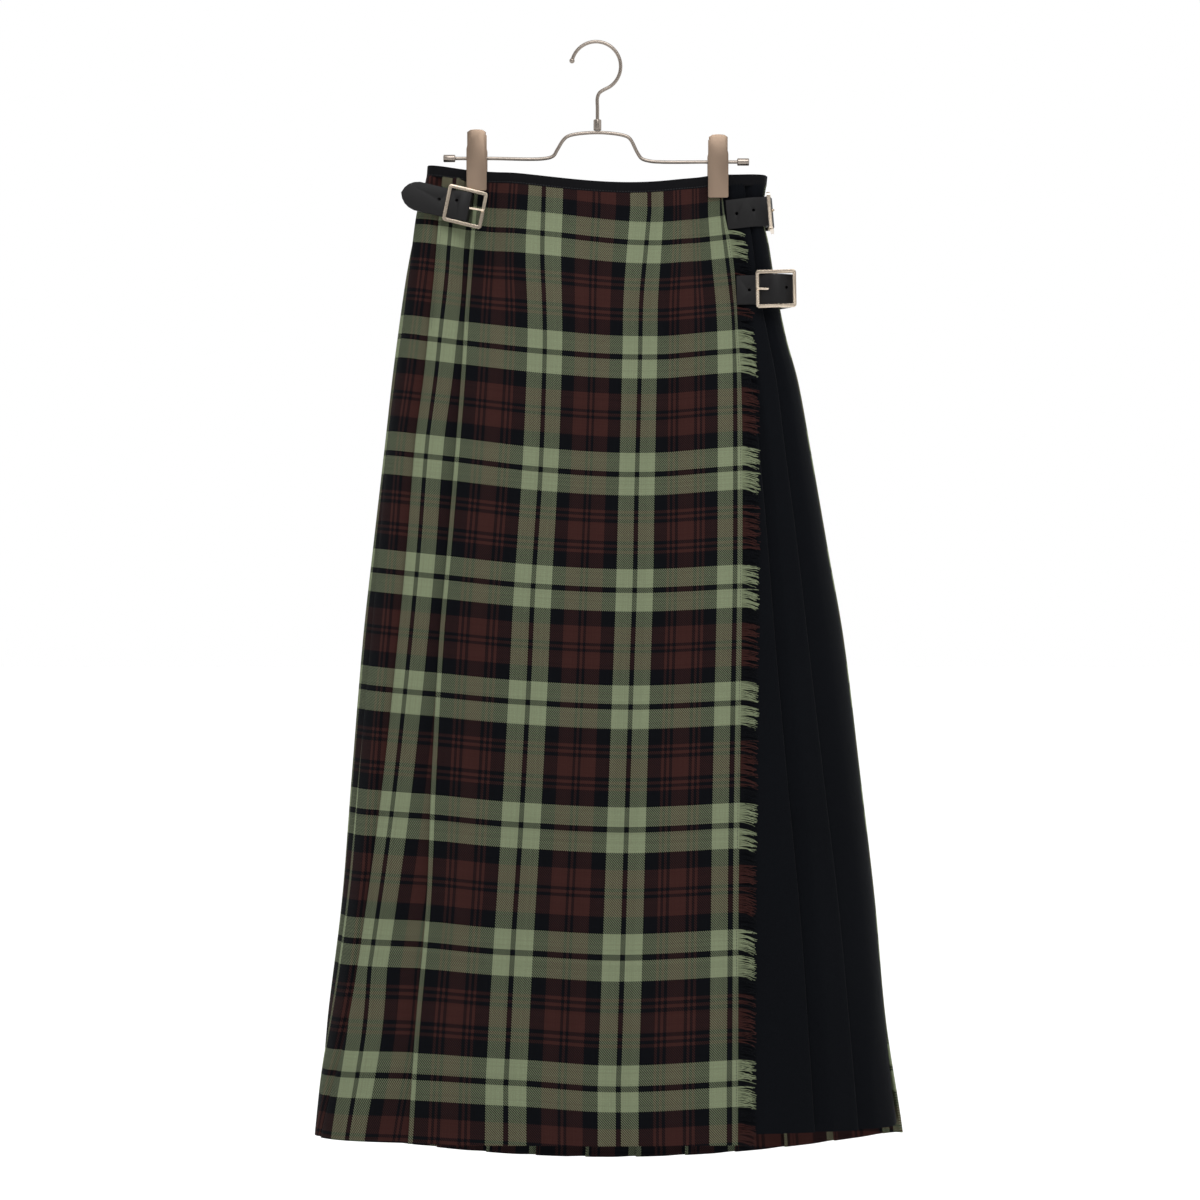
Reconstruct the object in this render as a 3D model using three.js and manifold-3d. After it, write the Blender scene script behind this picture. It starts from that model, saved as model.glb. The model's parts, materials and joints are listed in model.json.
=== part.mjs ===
// Pleated wrap skirt on a clip hanger.
// Millimetres, Z up. The front faces -Y, and +X is to the right of someone who looks at the front.
// The origin is the inside top of the hook, where it rests on a rail.
import * as THREE from 'three';
import { mergeVertices } from 'three/addons/utils/BufferGeometryUtils.js';
import Module from 'manifold-3d';

const wasm = await Module();
wasm.setup();

// Cloth
const CLOTH = 1.2;              // wall of the wool
const LAYER = 1.8;              // from the middle of one folded layer to the next
const STACK = 6.2;              // from the middle of the outermost layer to the hollow inside
const SEAM = 0.3;               // gap between two pieces that are sewn or lie together
const CLOTH_PER_PLEAT = 95;     // cloth that one knife pleat takes up
const LEAST_UNDERLAY = 5;       // narrowest hidden part of a pleat
const FOLD_ROOM = 1.2;          // a face leaves or reaches its layer this far from a fold
const PLEATS = 14;              // tartan knife pleats, from the apron round to the right side
const APRON_STEPS = 16;         // columns across the outer apron
const APRON_TURN = 15;          // cloth folded under at the apron's left edge
const UNDER_APRON_PAST = 10;    // the under apron reaches this far past that fold
const BLACK_BACK_REACH = 25;    // the black cloth goes this far round to the back, under the tartan
const TARTAN_SETBACK = 3;       // last tartan fold, behind the right side edge

// Waist and hem
const WAIST_Z = -125;           // height that every drop below is measured from
const BAND_HEIGHT = 10.5;
const BAND_WALL = 1.6;
const BAND_OVER_PLEATS = 4.8;   // binding with three layers of pleat inside
const APRON_HEM_Z = -1011;
const BLACK_HEM_Z = -1002;
const BACK_HEM_Z = -1013;
const BACK_HEM_DIP = 29;        // the middle of the back hangs this much lower
const FRINGE_REACH = 16.5;
const FRINGES = [
  { name: 'fringe_upper', top: -174.5, bottom: -216.0, steps: [0, 0.5, 1] },
  {
    name: 'fringe_lower',
    top: -247.5,
    bottom: APRON_HEM_Z,
    steps: [0, 0.03, 0.07, 0.12, 0.2, 0.35, 0.5, 0.75, 1],
  },
];
const FRINGE_LAYER = -0.1;      // the fringe lies a touch outside the apron's layer

// Top of the waist binding: its height in the middle of the level, how it leans to the right, how
// far it sags between the clips in front and behind, and where the front sag is lowest. Past the
// left clip it rises.
const BAND_TOP = { level: -121, lean: 1.4, frontSag: 10.2, backSag: 10, skew: 1.4, leftRise: 0.111 };
const FRONT_HEM_LIFT = 2;       // the apron's hem, higher in the middle than at the sides

// Rows of cloth, as parts of the way down
const CLOTH_STEPS = [0, 0.03, 0.06, 0.1, 0.15, 0.21, 0.3, 0.45, 0.62, 0.8, 1];
const BACK_BAND_STEPS = 44;
const SIDE_BAND_STEPS = 9;

// Hanger
const WIRE = 3.3;
const HOOK_RADIUS = 22.9;       // to the middle of the wire
const HOOK_X = -0.9;
const HOOK_TIP_ANGLE = 167;
const HOOK_END_ANGLE = -58;
const HOOK_BALL = 5;
const SHANK_X = 0.4;
const FERRULE = { top: -70.9, bottom: -81.0, width: 7.4 };
const BAR = { left: -142.8, right: 141.4, leftZ: -107.0, rightZ: -110.3, cap: 7.0, capLength: 11 };
const CROWN_Z = -82.9;
const CLIPS = [
  { side: 'left', x: -111.6, top: -81.5, bottom: -138.2, bar: BAR.leftZ },
  { side: 'right', x: 112.4, top: -86.1, bottom: -144.7, bar: BAR.rightZ },
];
const CLIP = {
  width: 18.8,
  topWidth: 17.4,
  plate: 1.2,
  shoulder: 18,                 // from the top down to where the plate is at its full width
  pad: 1.5,
  padHeight: 12,
  padInset: 1.2,
  spring: { radius: 4.2, length: 9 },
  ear: { above: 9, below: 4.5, past: 1.6 },
};

// The bar's middle line between its caps, as X and Z
const BAR_LINE = [
  [-137.3, -107.0], [-100, -107.0], [-48, -107.0], [-40.5, -104.5], [-37, -99.0],
  [-31, -89.5], [-26, -85.9], [0.4, CROWN_Z], [25, -85.6], [30.5, -88.5],
  [37.4, -101.3], [41.5, -107.0], [49.3, -109.5], [60, -110.3], [100, -110.3], [135.9, -110.3],
];
const SHANK_LINE = [[SHANK_X + 2.2, -45.6], [SHANK_X, -50.5], [SHANK_X, -60]];

// Straps and buckles
const STRAP = { width: 27, wall: 2.0, tip: 15 };
const TAB = { width: 24, wall: 1.8 };
const BUCKLE = {
  length: 37.2, height: 35.0, corner: 3, bar: 3.1, wall: 3.0, pin: 1.3, pinY: -2.2,
};
const PRONG = { radius: 1.1, eye: 1.0, width: 3.2, tip: [-17.9, 3.6], rootY: -1.9, room: 0.4 };
const STAND_OFF = BUCKLE.wall / 2 + STRAP.wall + TAB.wall + 3 * SEAM + 2;

// Where the middle of each buckle's centre bar stands, how steeply its strap rises, in degrees,
// and how far the cloth there leans out below it
const LEFT_BUCKLE = { x: -123.7, z: -154.2, rise: 12, lean: 3 };
const WAIST_BUCKLE = { x: 161.6, y: 6, z: -157, rise: 0, lean: 5 };
const HIP_BUCKLE = { x: 165.5, z: -231, rise: 1, lean: 3 };

// Straight lines that buckles lie along: from the apron's fold to a place past the left buckle,
// and from the apron's edge to a place towards the hip buckle
const LEFT_CHORD = 26;
const HIP_CHORD = -16;
const HIP_STAND_OFF = 2.4;

// Ends of straps and tabs that lie on the cloth: distances round the body from the left buckle or
// from the right side edge, and how far they stand off the cloth there
const LEFT_TAB = [14, 22, 30, 38];
const LEFT_STRAP_START = [[-6.2, -6.6], [-3.0, 1.0]];
const LEFT_STRAP_END = [62, -3.2];
const LEFT_STRAP_TIP = 60;
const WAIST_FRONT = { parts: [0, 0.3, 0.6, 0.85, 1], past: 9, off: 0.6 };
const WAIST_STRAP = { places: [38, 48, 58, 72], off: 0.9 };
const WAIST_TAB = { places: [26, 34, 42, 50], off: 0.9 };
const HIP_STRAP = { places: [14, 24, 36, 50], off: 3.7 };
const HIP_TAB = { places: [14, 24, 34], off: 3.3 };

// The hip strap and its tab turn back behind the buckle, in the buckle's own X and Y
const HIP_STRAP_BEND = [[11, -2.8], [14.6, -4.3], [16.5, -8], [16.6, -15], [15.2, -24]];
const HIP_TAB_BEND = [[9.5, -5.9], [12.5, -9], [13.3, -15], [12.6, -22]];

// Sections from the waist down: drop below WAIST_Z, the two side edges, the half depth of the
// hollow in front and behind, and where each fold that shows in front stands.
// third is a width, from the second fold round to the third.
const SECTION_COLUMNS = ['drop', 'left', 'right', 'front', 'back', 'first', 'second', 'third',
  'edge', 'blackOne', 'blackTwo', 'blackThree'];
const SECTIONS = [
  [-12, -157.6, 158.6, 10, 9, -111.0, -142.0, 24, 113.8, 115.2, 134.0, 157.6],
  [0, -158.6, 159.3, 11, 10, -112.0, -142.8, 24, 114.8, 115.9, 134.5, 158.3],
  [34, -168.6, 155.2, 15, 12, -115.1, -145.4, 25, 118.3, 119.5, 139.0, 154.2],
  [60, -173.0, 160.5, 19, 14, -117.0, -147.5, 26, 123.7, 122.5, 143.0, 159.5],
  [91, -177.9, 165.4, 24, 16, -119.0, -149.8, 27, 127.5, 125.7, 147.1, 164.4],
  [147, -185.5, 176.5, 31, 19, -122.0, -155.1, 29, 129.8, 133.9, 157.7, 175.5],
  [188, -190.7, 187.7, 35, 21, -124.3, -159.2, 30, 132.3, 141.2, 165.5, 186.7],
  [249, -197.6, 198.9, 40, 23, -128.8, -167.0, 31, 133.1, 148.5, 172.8, 197.9],
  [345, -208.3, 215.6, 46, 25, -136.5, -174.4, 31, 132.9, 156.7, 184.7, 214.6],
  [430, -217.6, 230.5, 51, 26, -143.7, -182.3, 30, 131.8, 163.0, 193.9, 229.5],
  [560, -228.3, 246.3, 56, 27, -150.7, -196.1, 29, 130.1, 174.0, 208.6, 245.3],
  [671, -237.2, 259.3, 60, 28, -155.1, -210.9, 26, 128.6, 184.5, 221.5, 258.3],
  [783, -251.1, 269.5, 64, 29, -164.9, -228.8, 26, 128.1, 192.3, 231.7, 268.3],
  [889, -262.3, 285.5, 68, 30, -171.5, -254.5, 30, 127.5, 199.0, 240.2, 277.5],
  [930, -265.5, 288.5, 70, 30, -174.0, -257.5, 31, 127.3, 201.5, 243.0, 280.5],
];

// Largest soft folds of the front: place at the waist, drift to the right for each mm down,
// the drops between which the fold lives, its height (outwards if above 0) and its half width.
const FOLD_COLUMNS = ['x', 'drift', 'from', 'to', 'height', 'width'];
const SOFT_FOLDS = [
  [68, -0.01, 10, 330, -4.5, 13],
  [36, -0.02, 40, 420, 3.5, 18],
  [-42, -0.02, 60, 520, -3.0, 22],
  [96, 0.0, 40, 600, 2.5, 16],
  [52, -0.04, 380, 930, 3.0, 30],
  [-70, -0.05, 460, 930, 3.0, 28],
];

const CLIP_PINCH = { width: 29, reach: 110, back: 1.8 };
const FULLNESS = 0.8;           // below 1 makes the body squarer than an ellipse
const ENVELOPE_STEPS = 720;

// Materials
const material = (color, roughness, metalness = 0) =>
  new THREE.MeshStandardMaterial({ color, roughness, metalness });
const TARTAN = material(0x48382c, 0.9);
const BLACK_WOOL = material(0x15161b, 0.92);
const BINDING = material(0x101013, 0.85);
const FRINGE_WOOL = material(0x6c7358, 0.95);
const LEATHER = material(0x202022, 0.5);
const NICKEL = material(0xb9b2a8, 0.28, 1);
const HANGER_METAL = material(0x8f8780, 0.35, 1);
const CLIP_METAL = material(0x9a8c80, 0.38, 1);
const RUBBER = material(0x2a2826, 0.8);

const skirt = new THREE.Group();

function add(name, geometry, finish, parent = skirt) {
  const mesh = new THREE.Mesh(geometry, finish);
  mesh.name = name;
  parent.add(mesh);
  return mesh;
}

// Solids that are cut or joined

function toSolid(geometry) {
  const bare = geometry.clone();
  bare.deleteAttribute('normal');
  bare.deleteAttribute('uv');
  const merged = mergeVertices(bare, 1e-4);
  return new wasm.Manifold(new wasm.Mesh({
    numProp: 3,
    vertProperties: new Float32Array(merged.attributes.position.array),
    triVerts: new Uint32Array(merged.index.array),
  }));
}

function toGeometry(solid) {
  const mesh = solid.getMesh();
  const geometry = new THREE.BufferGeometry();
  geometry.setAttribute('position', new THREE.BufferAttribute(mesh.vertProperties, 3));
  geometry.setIndex(new THREE.BufferAttribute(mesh.triVerts, 1));
  return geometry;
}

function join(...geometries) {
  return toGeometry(geometries.map(toSolid).reduce((all, next) => all.add(next)));
}

function cut(geometry, ...tools) {
  return toGeometry(tools.map(toSolid).reduce((rest, tool) => rest.subtract(tool), toSolid(geometry)));
}

function common(geometry, other) {
  return toGeometry(toSolid(geometry).intersect(toSolid(other)));
}

// The body's outline at a height

function named(columns, row) {
  return Object.fromEntries(columns.map((column, i) => [column, row[i]]));
}

const sections = SECTIONS.map((row) => named(SECTION_COLUMNS, row));
const softFolds = SOFT_FOLDS.map((row) => named(FOLD_COLUMNS, row));

function slope(list, i, key) {
  const before = list[Math.max(i - 1, 0)];
  const after = list[Math.min(i + 1, list.length - 1)];
  return (after[key] - before[key]) / (after.drop - before.drop);
}

// One column of the table at a drop, on a smooth curve through its rows
function column(key, drop) {
  const last = sections.length - 1;
  const at = THREE.MathUtils.clamp(drop, sections[0].drop, sections[last].drop);
  let i = 0;
  while (i < last - 1 && sections[i + 1].drop < at) i += 1;
  const [a, b] = [sections[i], sections[i + 1]];
  const span = b.drop - a.drop;
  const t = (at - a.drop) / span;
  const [t2, t3] = [t * t, t * t * t];
  return (2 * t3 - 3 * t2 + 1) * a[key] + (t3 - 2 * t2 + t) * span * slope(sections, i, key)
    + (3 * t2 - 2 * t3) * b[key] + (t3 - t2) * span * slope(sections, i + 1, key);
}

function clipPinch(x, drop) {
  const fade = Math.exp(-((Math.max(drop, 0) / CLIP_PINCH.reach) ** 4));
  return fade * CLIPS.reduce((sum, clip) => sum + Math.exp(-(((x - clip.x) / CLIP_PINCH.width) ** 4)), 0);
}

function softFold(x, drop) {
  return softFolds.reduce((sum, fold) => {
    const along = THREE.MathUtils.clamp((drop - fold.from) / (fold.to - fold.from), 0, 1);
    const across = (x - fold.x - fold.drift * drop) / fold.width;
    return sum + fold.height * Math.sin(Math.PI * along) * Math.exp(-across * across);
  }, 0);
}

const outlines = new Map();

// Points round the hollow, starting at the middle of the back and going by the right side, the
// front and the left side. s is the distance along the outermost layer from the middle of the
// front, and it grows to the left.
function outline(z) {
  const key = Math.round(z * 4);
  if (outlines.has(key)) return outlines.get(key);
  const drop = WAIST_Z - key / 4;
  const [left, right] = [column('left', drop), column('right', drop)];
  const half = (right - left) / 2 - STACK - CLOTH / 2;
  const core = [];
  for (let k = 0; k <= ENVELOPE_STEPS; k += 1) {
    const angle = -Math.PI + (2 * Math.PI * k) / ENVELOPE_STEPS;
    const turned = Math.cos(angle);
    const facing = Math.sign(turned) * Math.abs(turned) ** FULLNESS;
    const x = (left + right) / 2 - half * Math.sin(angle);
    const pinch = clipPinch(x, drop);
    const depth = column(facing > 0 ? 'front' : 'back', drop);
    const pulled = CLIP_PINCH.back * pinch * Math.min(facing, 0);
    const bulge = facing > 0 ? softFold(x, drop) * Math.sqrt(facing) : 0;
    core.push(new THREE.Vector2(x, -depth * facing * (1 - pinch) + pulled - bulge));
  }
  const last = ENVELOPE_STEPS;
  const points = core.map((point, k) => {
    const before = core[k === 0 ? last - 1 : k - 1];
    const after = core[k === last ? 1 : k + 1];
    const normal = new THREE.Vector2(before.y - after.y, after.x - before.x).normalize();
    return { point, normal, outer: point.clone().addScaledVector(normal, STACK) };
  });
  points[0].s = 0;
  for (let k = 1; k <= last; k += 1) {
    points[k].s = points[k - 1].s + points[k].outer.distanceTo(points[k - 1].outer);
  }
  const middle = points[last / 2].s;
  points.forEach((p) => { p.s -= middle; });
  const found = { points, length: points[last].s - points[0].s };
  outlines.set(key, found);
  return found;
}

// Plan position at a distance s round the body, depth below the middle of the outermost layer
function place(z, s, depth) {
  const { points, length } = outline(z);
  let at = s;
  while (at > points[points.length - 1].s) at -= length;
  while (at < points[0].s) at += length;
  let [low, high] = [0, points.length - 1];
  while (high - low > 1) {
    const middle = (low + high) >> 1;
    if (points[middle].s > at) high = middle; else low = middle;
  }
  const [a, b] = [points[low], points[high]];
  const t = (at - a.s) / (b.s - a.s);
  const normal = a.normal.clone().lerp(b.normal, t).normalize();
  return a.point.clone().lerp(b.point, t).addScaledVector(normal, STACK - depth);
}

// Distance s of the point of the front whose outermost layer stands at x
function frontDistance(z, x) {
  const { points } = outline(z);
  let k = ENVELOPE_STEPS / 4;
  while (k < (3 * ENVELOPE_STEPS) / 4 && points[k + 1].outer.x > x) k += 1;
  const [a, b] = [points[k], points[k + 1]];
  return THREE.MathUtils.clamp(THREE.MathUtils.mapLinear(x, a.outer.x, b.outer.x, a.s, b.s), a.s, b.s);
}

const rightSide = (z) => outline(z).points[ENVELOPE_STEPS / 4].s;

// Folds, as distances round the body

const tableFold = (key) => (z) => frontDistance(z, column(key, WAIST_Z - z));
const apronEdge = tableFold('edge');
const firstFold = tableFold('first');
const secondFold = tableFold('second');
const blackFolds = ['blackOne', 'blackTwo', 'blackThree'].map(tableFold);

// Fold edge of tartan pleat k, where 0 is the apron's own left fold
function tartanFold(k, z) {
  if (k === 0) return firstFold(z);
  if (k === 1) return secondFold(z);
  const third = secondFold(z) + column('third', WAIST_Z - z);
  const end = rightSide(z) + outline(z).length - TARTAN_SETBACK;
  return third + ((end - third) * (k - 2)) / (PLEATS - 2);
}

function underlay(width) {
  return Math.max(LEAST_UNDERLAY, Math.min(width / 2, (CLOTH_PER_PLEAT - width) / 2));
}

const tartanUnderlay = (k, z) => (k === 0 ? APRON_TURN
  : underlay(tartanFold(k, z) - tartanFold(k - 1, z)));
const blackUnderlay = (k, z) => (k === 0 ? LEAST_UNDERLAY
  : underlay(blackFolds[k - 1](z) - blackFolds[k](z)));

// Top and hem lines

// Top of the waist binding. It sags between the clips, more in front than behind.
function bandTop(x, behind) {
  const reach = CLIPS[1].x;
  const level = BAND_TOP.level - (BAND_TOP.lean * x) / reach;
  const across = (x + reach) / (2 * reach);
  if (across <= 0) return level - across * 2 * reach * BAND_TOP.leftRise;
  if (across >= 1) return level;
  if (behind) return level - BAND_TOP.backSag * Math.sin(Math.PI * across);
  return level - BAND_TOP.frontSag * Math.sin(Math.PI * across ** BAND_TOP.skew);
}

function clothTop(x, behind) {
  return bandTop(x, behind) - BAND_HEIGHT - SEAM;
}

function tartanHem(x, behind) {
  const drop = WAIST_Z - BACK_HEM_Z;
  const centre = (column('left', drop) + column('right', drop)) / 2;
  const across = (x - centre) / ((column('right', drop) - column('left', drop)) / 2);
  const dip = Math.max(0, 1 - across * across);
  return behind ? BACK_HEM_Z - BACK_HEM_DIP * dip : APRON_HEM_Z - FRONT_HEM_LIFT * (1 - dip);
}

// Sheets of cloth

// Middle line of a wall offset to both sides, with mitred corners. Side is 1 or -1.
function offsetLine(line, half, side) {
  return line.map((point, i) => {
    const before = line[Math.max(i - 1, 0)];
    const after = line[Math.min(i + 1, line.length - 1)];
    const into = point.clone().sub(before).normalize();
    const out = after.clone().sub(point).normalize();
    if (i === 0) into.copy(out);
    if (i === line.length - 1) out.copy(into);
    const normal = new THREE.Vector2(-into.y - out.y, into.x + out.x);
    const scale = (2 * half) / normal.lengthSq();
    return point.clone().addScaledVector(normal, side * scale);
  });
}

// A closed wall through stations. A station has at(z), its distance round the body, and its
// depth. top and hem give the wall's ends, hem for places at the height low, and steps are
// fractions of the way down.
function sheet(stations, { top, hem, low = BACK_HEM_Z, steps = CLOTH_STEPS, wall = CLOTH }) {
  const spans = stations.map((station) => {
    const start = place(WAIST_Z, station.at(WAIST_Z), 0);
    const end = place(low, station.at(low), 0);
    return { from: top(start.x, start.y > 0), to: hem(end.x, end.y > 0) };
  });
  const rows = steps.map((step) => {
    const heights = spans.map((span) => THREE.MathUtils.lerp(span.from, span.to, step));
    const middle = stations.map(({ at, depth }, c) => new THREE.Vector2(at(heights[c]), depth));
    return [-1, 1].map((side) => offsetLine(middle, wall / 2, side).map((point, c) => {
      const plan = place(heights[c], point.x, point.y);
      return [plan.x, plan.y, heights[c]];
    }));
  });
  const [count, deep] = [stations.length, steps.length];
  const positions = [0, 1].flatMap((side) => rows.flatMap((row) => row[side].flat()));
  const at = (side, row, c) => (side * deep + row) * count + c;
  const faces = [];
  const quad = (a, b, c, d) => faces.push(a, b, c, a, c, d);
  const toLeft = stations.slice(1).map((next, c) => next.at(WAIST_Z) > stations[c].at(WAIST_Z));
  for (let r = 0; r < deep - 1; r += 1) {
    // Every layer is split along the same diagonal, so layers that lie together stay apart
    for (let c = 0; c < count - 1; c += 1) {
      const outer = [at(0, r, c), at(0, r + 1, c), at(0, r + 1, c + 1), at(0, r, c + 1)];
      const inner = [at(1, r, c), at(1, r, c + 1), at(1, r + 1, c + 1), at(1, r + 1, c)];
      if (toLeft[c]) {
        quad(...outer);
        quad(...inner);
      } else {
        quad(...outer.slice(1), outer[0]);
        quad(...inner.slice(1), inner[0]);
      }
    }
    quad(at(0, r, 0), at(1, r, 0), at(1, r + 1, 0), at(0, r + 1, 0));
    quad(at(0, r, count - 1), at(0, r + 1, count - 1), at(1, r + 1, count - 1), at(1, r, count - 1));
  }
  for (let c = 0; c < count - 1; c += 1) {
    quad(at(0, 0, c), at(0, 0, c + 1), at(1, 0, c + 1), at(1, 0, c));
    quad(at(0, deep - 1, c), at(1, deep - 1, c), at(1, deep - 1, c + 1), at(0, deep - 1, c + 1));
  }
  return outward(positions, faces);
}

// A mesh of these points and faces, turned so that its faces point out
function outward(positions, faces) {
  const corner = (i) => new THREE.Vector3().fromArray(positions, 3 * faces[i]);
  let volume = 0;
  for (let i = 0; i < faces.length; i += 3) volume += corner(i).dot(corner(i + 1).cross(corner(i + 2)));
  const index = volume > 0 ? faces : faces.map((_, i) => faces[i - (i % 3) + 2 - (i % 3)]);
  const geometry = new THREE.BufferGeometry();
  geometry.setAttribute('position', new THREE.Float32BufferAttribute(positions, 3));
  geometry.setIndex(index);
  return geometry;
}

const station = (at, layers) => ({ at, depth: layers * LAYER });
const shifted = (at, by) => (z) => at(z) + by;
const between = (a, b, t) => (z) => THREE.MathUtils.lerp(a(z), b(z), t);

// Stations of tartan pleats from one to another. Each face starts hidden under the fold before
// it, comes out in faceSteps, ends at its own fold, and turns back under itself.
function tartanPleats(from, to, fine = () => false, faceSteps = () => 1) {
  const stations = [];
  for (let k = from; k <= to; k += 1) {
    const before = (z) => tartanFold(k - 1, z);
    const fold = (z) => tartanFold(k, z);
    const hidden = (z) => before(z) - tartanUnderlay(k - 1, z);
    const inner = (z) => fold(z) - tartanUnderlay(k, z);
    stations.push(station(hidden, 2));
    if (fine(k)) stations.push(station(between(hidden, before, 0.5), 2));
    const [out, full] = [shifted(before, FOLD_ROOM), shifted(inner, -FOLD_ROOM)];
    for (let i = 0; i <= faceSteps(k); i += 1) {
      const part = i / faceSteps(k);
      stations.push(station(between(out, full, part), 2 * (1 - part)));
    }
    if (fine(k)) stations.push(station(between(inner, fold, 0.5), 0));
    stations.push(station(fold, 0), station(fold, 1));
    if (fine(k)) stations.push(station(between(inner, fold, 0.5), 1));
    stations.push(station(inner, 1));
  }
  return stations;
}

const tartanEnds = { top: clothTop, hem: tartanHem };
const blackEnds = { top: clothTop, hem: () => BLACK_HEM_Z };

// Column i of the apron, counted from its right edge to its left fold
const apronColumn = (i) => between(apronEdge, firstFold, i / APRON_STEPS);

function apronStations() {
  const front = Array.from({ length: APRON_STEPS + 1 }, (_, i) => station(apronColumn(i), 0));
  return [...front, station(firstFold, 1), station(shifted(firstFold, -APRON_TURN), 1)];
}

// The under apron lies one layer in, and steps down two more to pass under the first pleat
function underApronStations() {
  const front = Array.from({ length: APRON_STEPS - 3 }, (_, i) => station(apronColumn(i + 1), 1));
  front[0] = station(shifted(apronColumn(1), SEAM / 2), 1);
  const left = [-APRON_TURN, -APRON_TURN / 2, FOLD_ROOM, UNDER_APRON_PAST];
  return [...front, station(apronColumn(APRON_STEPS - 2), 3),
    ...left.map((by) => station(shifted(firstFold, by), 3))];
}

// The black pleats fold the other way, with their edges to the right, and the cloth ends round
// the side, under the last tartan pleat.
function blackStations() {
  const start = shifted(apronColumn(1), -SEAM / 2);
  const stations = [0, 0.35, 0.7].map((part) => station(between(start, blackFolds[0], part), 1));
  blackFolds.forEach((fold, i) => {
    const inner = (z) => fold(z) + (i === 0 ? LEAST_UNDERLAY : blackUnderlay(i, z));
    if (i > 0) stations.push(station(shifted(inner, FOLD_ROOM), 1));
    stations.push(station(fold, 1), station(fold, 2), station(inner, 2), station(inner, 3),
      station(shifted(fold, -FOLD_ROOM), 3));
  });
  const side = blackFolds[2];
  [0.25, 0.5, 0.75, 1].forEach((part) => {
    stations.push(station((z) => THREE.MathUtils.lerp(side(z) - FOLD_ROOM,
      rightSide(z) - BLACK_BACK_REACH, part), 3));
  });
  return stations;
}

add('outer_apron', sheet(apronStations(), tartanEnds), TARTAN);
const sideFaceSteps = (k) => (k === 1 ? 4 : 1);
add('side_pleats', sheet(tartanPleats(1, 4, () => true, sideFaceSteps), tartanEnds), TARTAN);
add('back_pleats_left', sheet(tartanPleats(5, 9, (k) => k === 5), tartanEnds), TARTAN);
add('back_pleats_right', sheet(tartanPleats(10, PLEATS, (k) => k > 12), tartanEnds), TARTAN);
add('under_apron', sheet(underApronStations(), blackEnds), BLACK_WOOL);
add('black_side_pleats', sheet(blackStations(), blackEnds), BLACK_WOOL);

FRINGES.forEach((fringe) => {
  const stations = [2 * SEAM, FRINGE_REACH / 2, FRINGE_REACH]
    .map((by) => station(shifted(apronEdge, -by), FRINGE_LAYER));
  const ends = { top: () => fringe.top, hem: () => fringe.bottom, steps: fringe.steps };
  add(fringe.name, sheet(stations, ends), FRINGE_WOOL);
});

// Waist binding

function band(name, stations, wall) {
  const bottom = (x, behind) => bandTop(x, behind) - BAND_HEIGHT;
  const ends = { top: bandTop, hem: bottom, low: WAIST_Z, steps: [0, 1], wall };
  add(name, sheet(stations, ends), BINDING);
}

// Stations spread evenly between two places
function spread(from, to, count, layers) {
  return Array.from({ length: count + 1 }, (_, i) => station(between(from, to, i / count), layers));
}

const tartanEnd = (z) => tartanFold(PLEATS, z);
band('band_apron', spread(apronEdge, firstFold, APRON_STEPS, 0), BAND_WALL);
band('band_pleats', spread(shifted(firstFold, FOLD_ROOM), tartanEnd, BACK_BAND_STEPS, 1),
  BAND_OVER_PLEATS);
band('band_under', spread(shifted(apronColumn(1), SEAM / 2), apronColumn(APRON_STEPS - 3),
  APRON_STEPS - 4, 1), BAND_WALL);
band('band_black_side', spread(shifted(apronColumn(1), -SEAM / 2), shifted(rightSide, SEAM),
  SIDE_BAND_STEPS, 2), BAND_OVER_PLEATS);

// Hanger

const X_AXIS = new THREE.Vector3(1, 0, 0);
const HOOK_STEPS = 36;
const HOOK_ANGLE_STEP = 15;
const BAR_STEPS = 60;
const radians = THREE.MathUtils.degToRad;

function tube(points, radius, steps, sides = 5) {
  const curve = new THREE.CatmullRomCurve3(points.map(([x, z]) => new THREE.Vector3(x, 0, z)));
  const section = new THREE.Shape().absarc(0, 0, radius, 0, 2 * Math.PI);
  return new THREE.ExtrudeGeometry(section, {
    steps, curveSegments: sides, extrudePath: curve, bevelEnabled: false,
  });
}

function rod(radius, from, to, sides = 16) {
  const axis = to.clone().sub(from);
  const geometry = new THREE.CylinderGeometry(radius, radius, axis.length(), sides);
  geometry.applyQuaternion(new THREE.Quaternion().setFromUnitVectors(
    new THREE.Vector3(0, 1, 0), axis.clone().normalize()));
  return geometry.translate(...from.clone().lerp(to, 0.5).toArray());
}

function hook() {
  const centreZ = WIRE / 2 - HOOK_RADIUS;
  const onRing = (degrees) => [HOOK_X + HOOK_RADIUS * Math.cos(radians(degrees)),
    centreZ + HOOK_RADIUS * Math.sin(radians(degrees))];
  const ring = [];
  for (let angle = HOOK_TIP_ANGLE; angle >= HOOK_END_ANGLE; angle -= HOOK_ANGLE_STEP) {
    ring.push(onRing(angle));
  }
  const shank = [...SHANK_LINE, [SHANK_X, FERRULE.top + SEAM]];
  const [ballX, ballZ] = onRing(HOOK_TIP_ANGLE);
  const ball = new THREE.SphereGeometry(HOOK_BALL / 2, 14, 10).translate(ballX, 0, ballZ);
  return join(tube([...ring, ...shank], WIRE / 2, HOOK_STEPS), ball);
}

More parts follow.
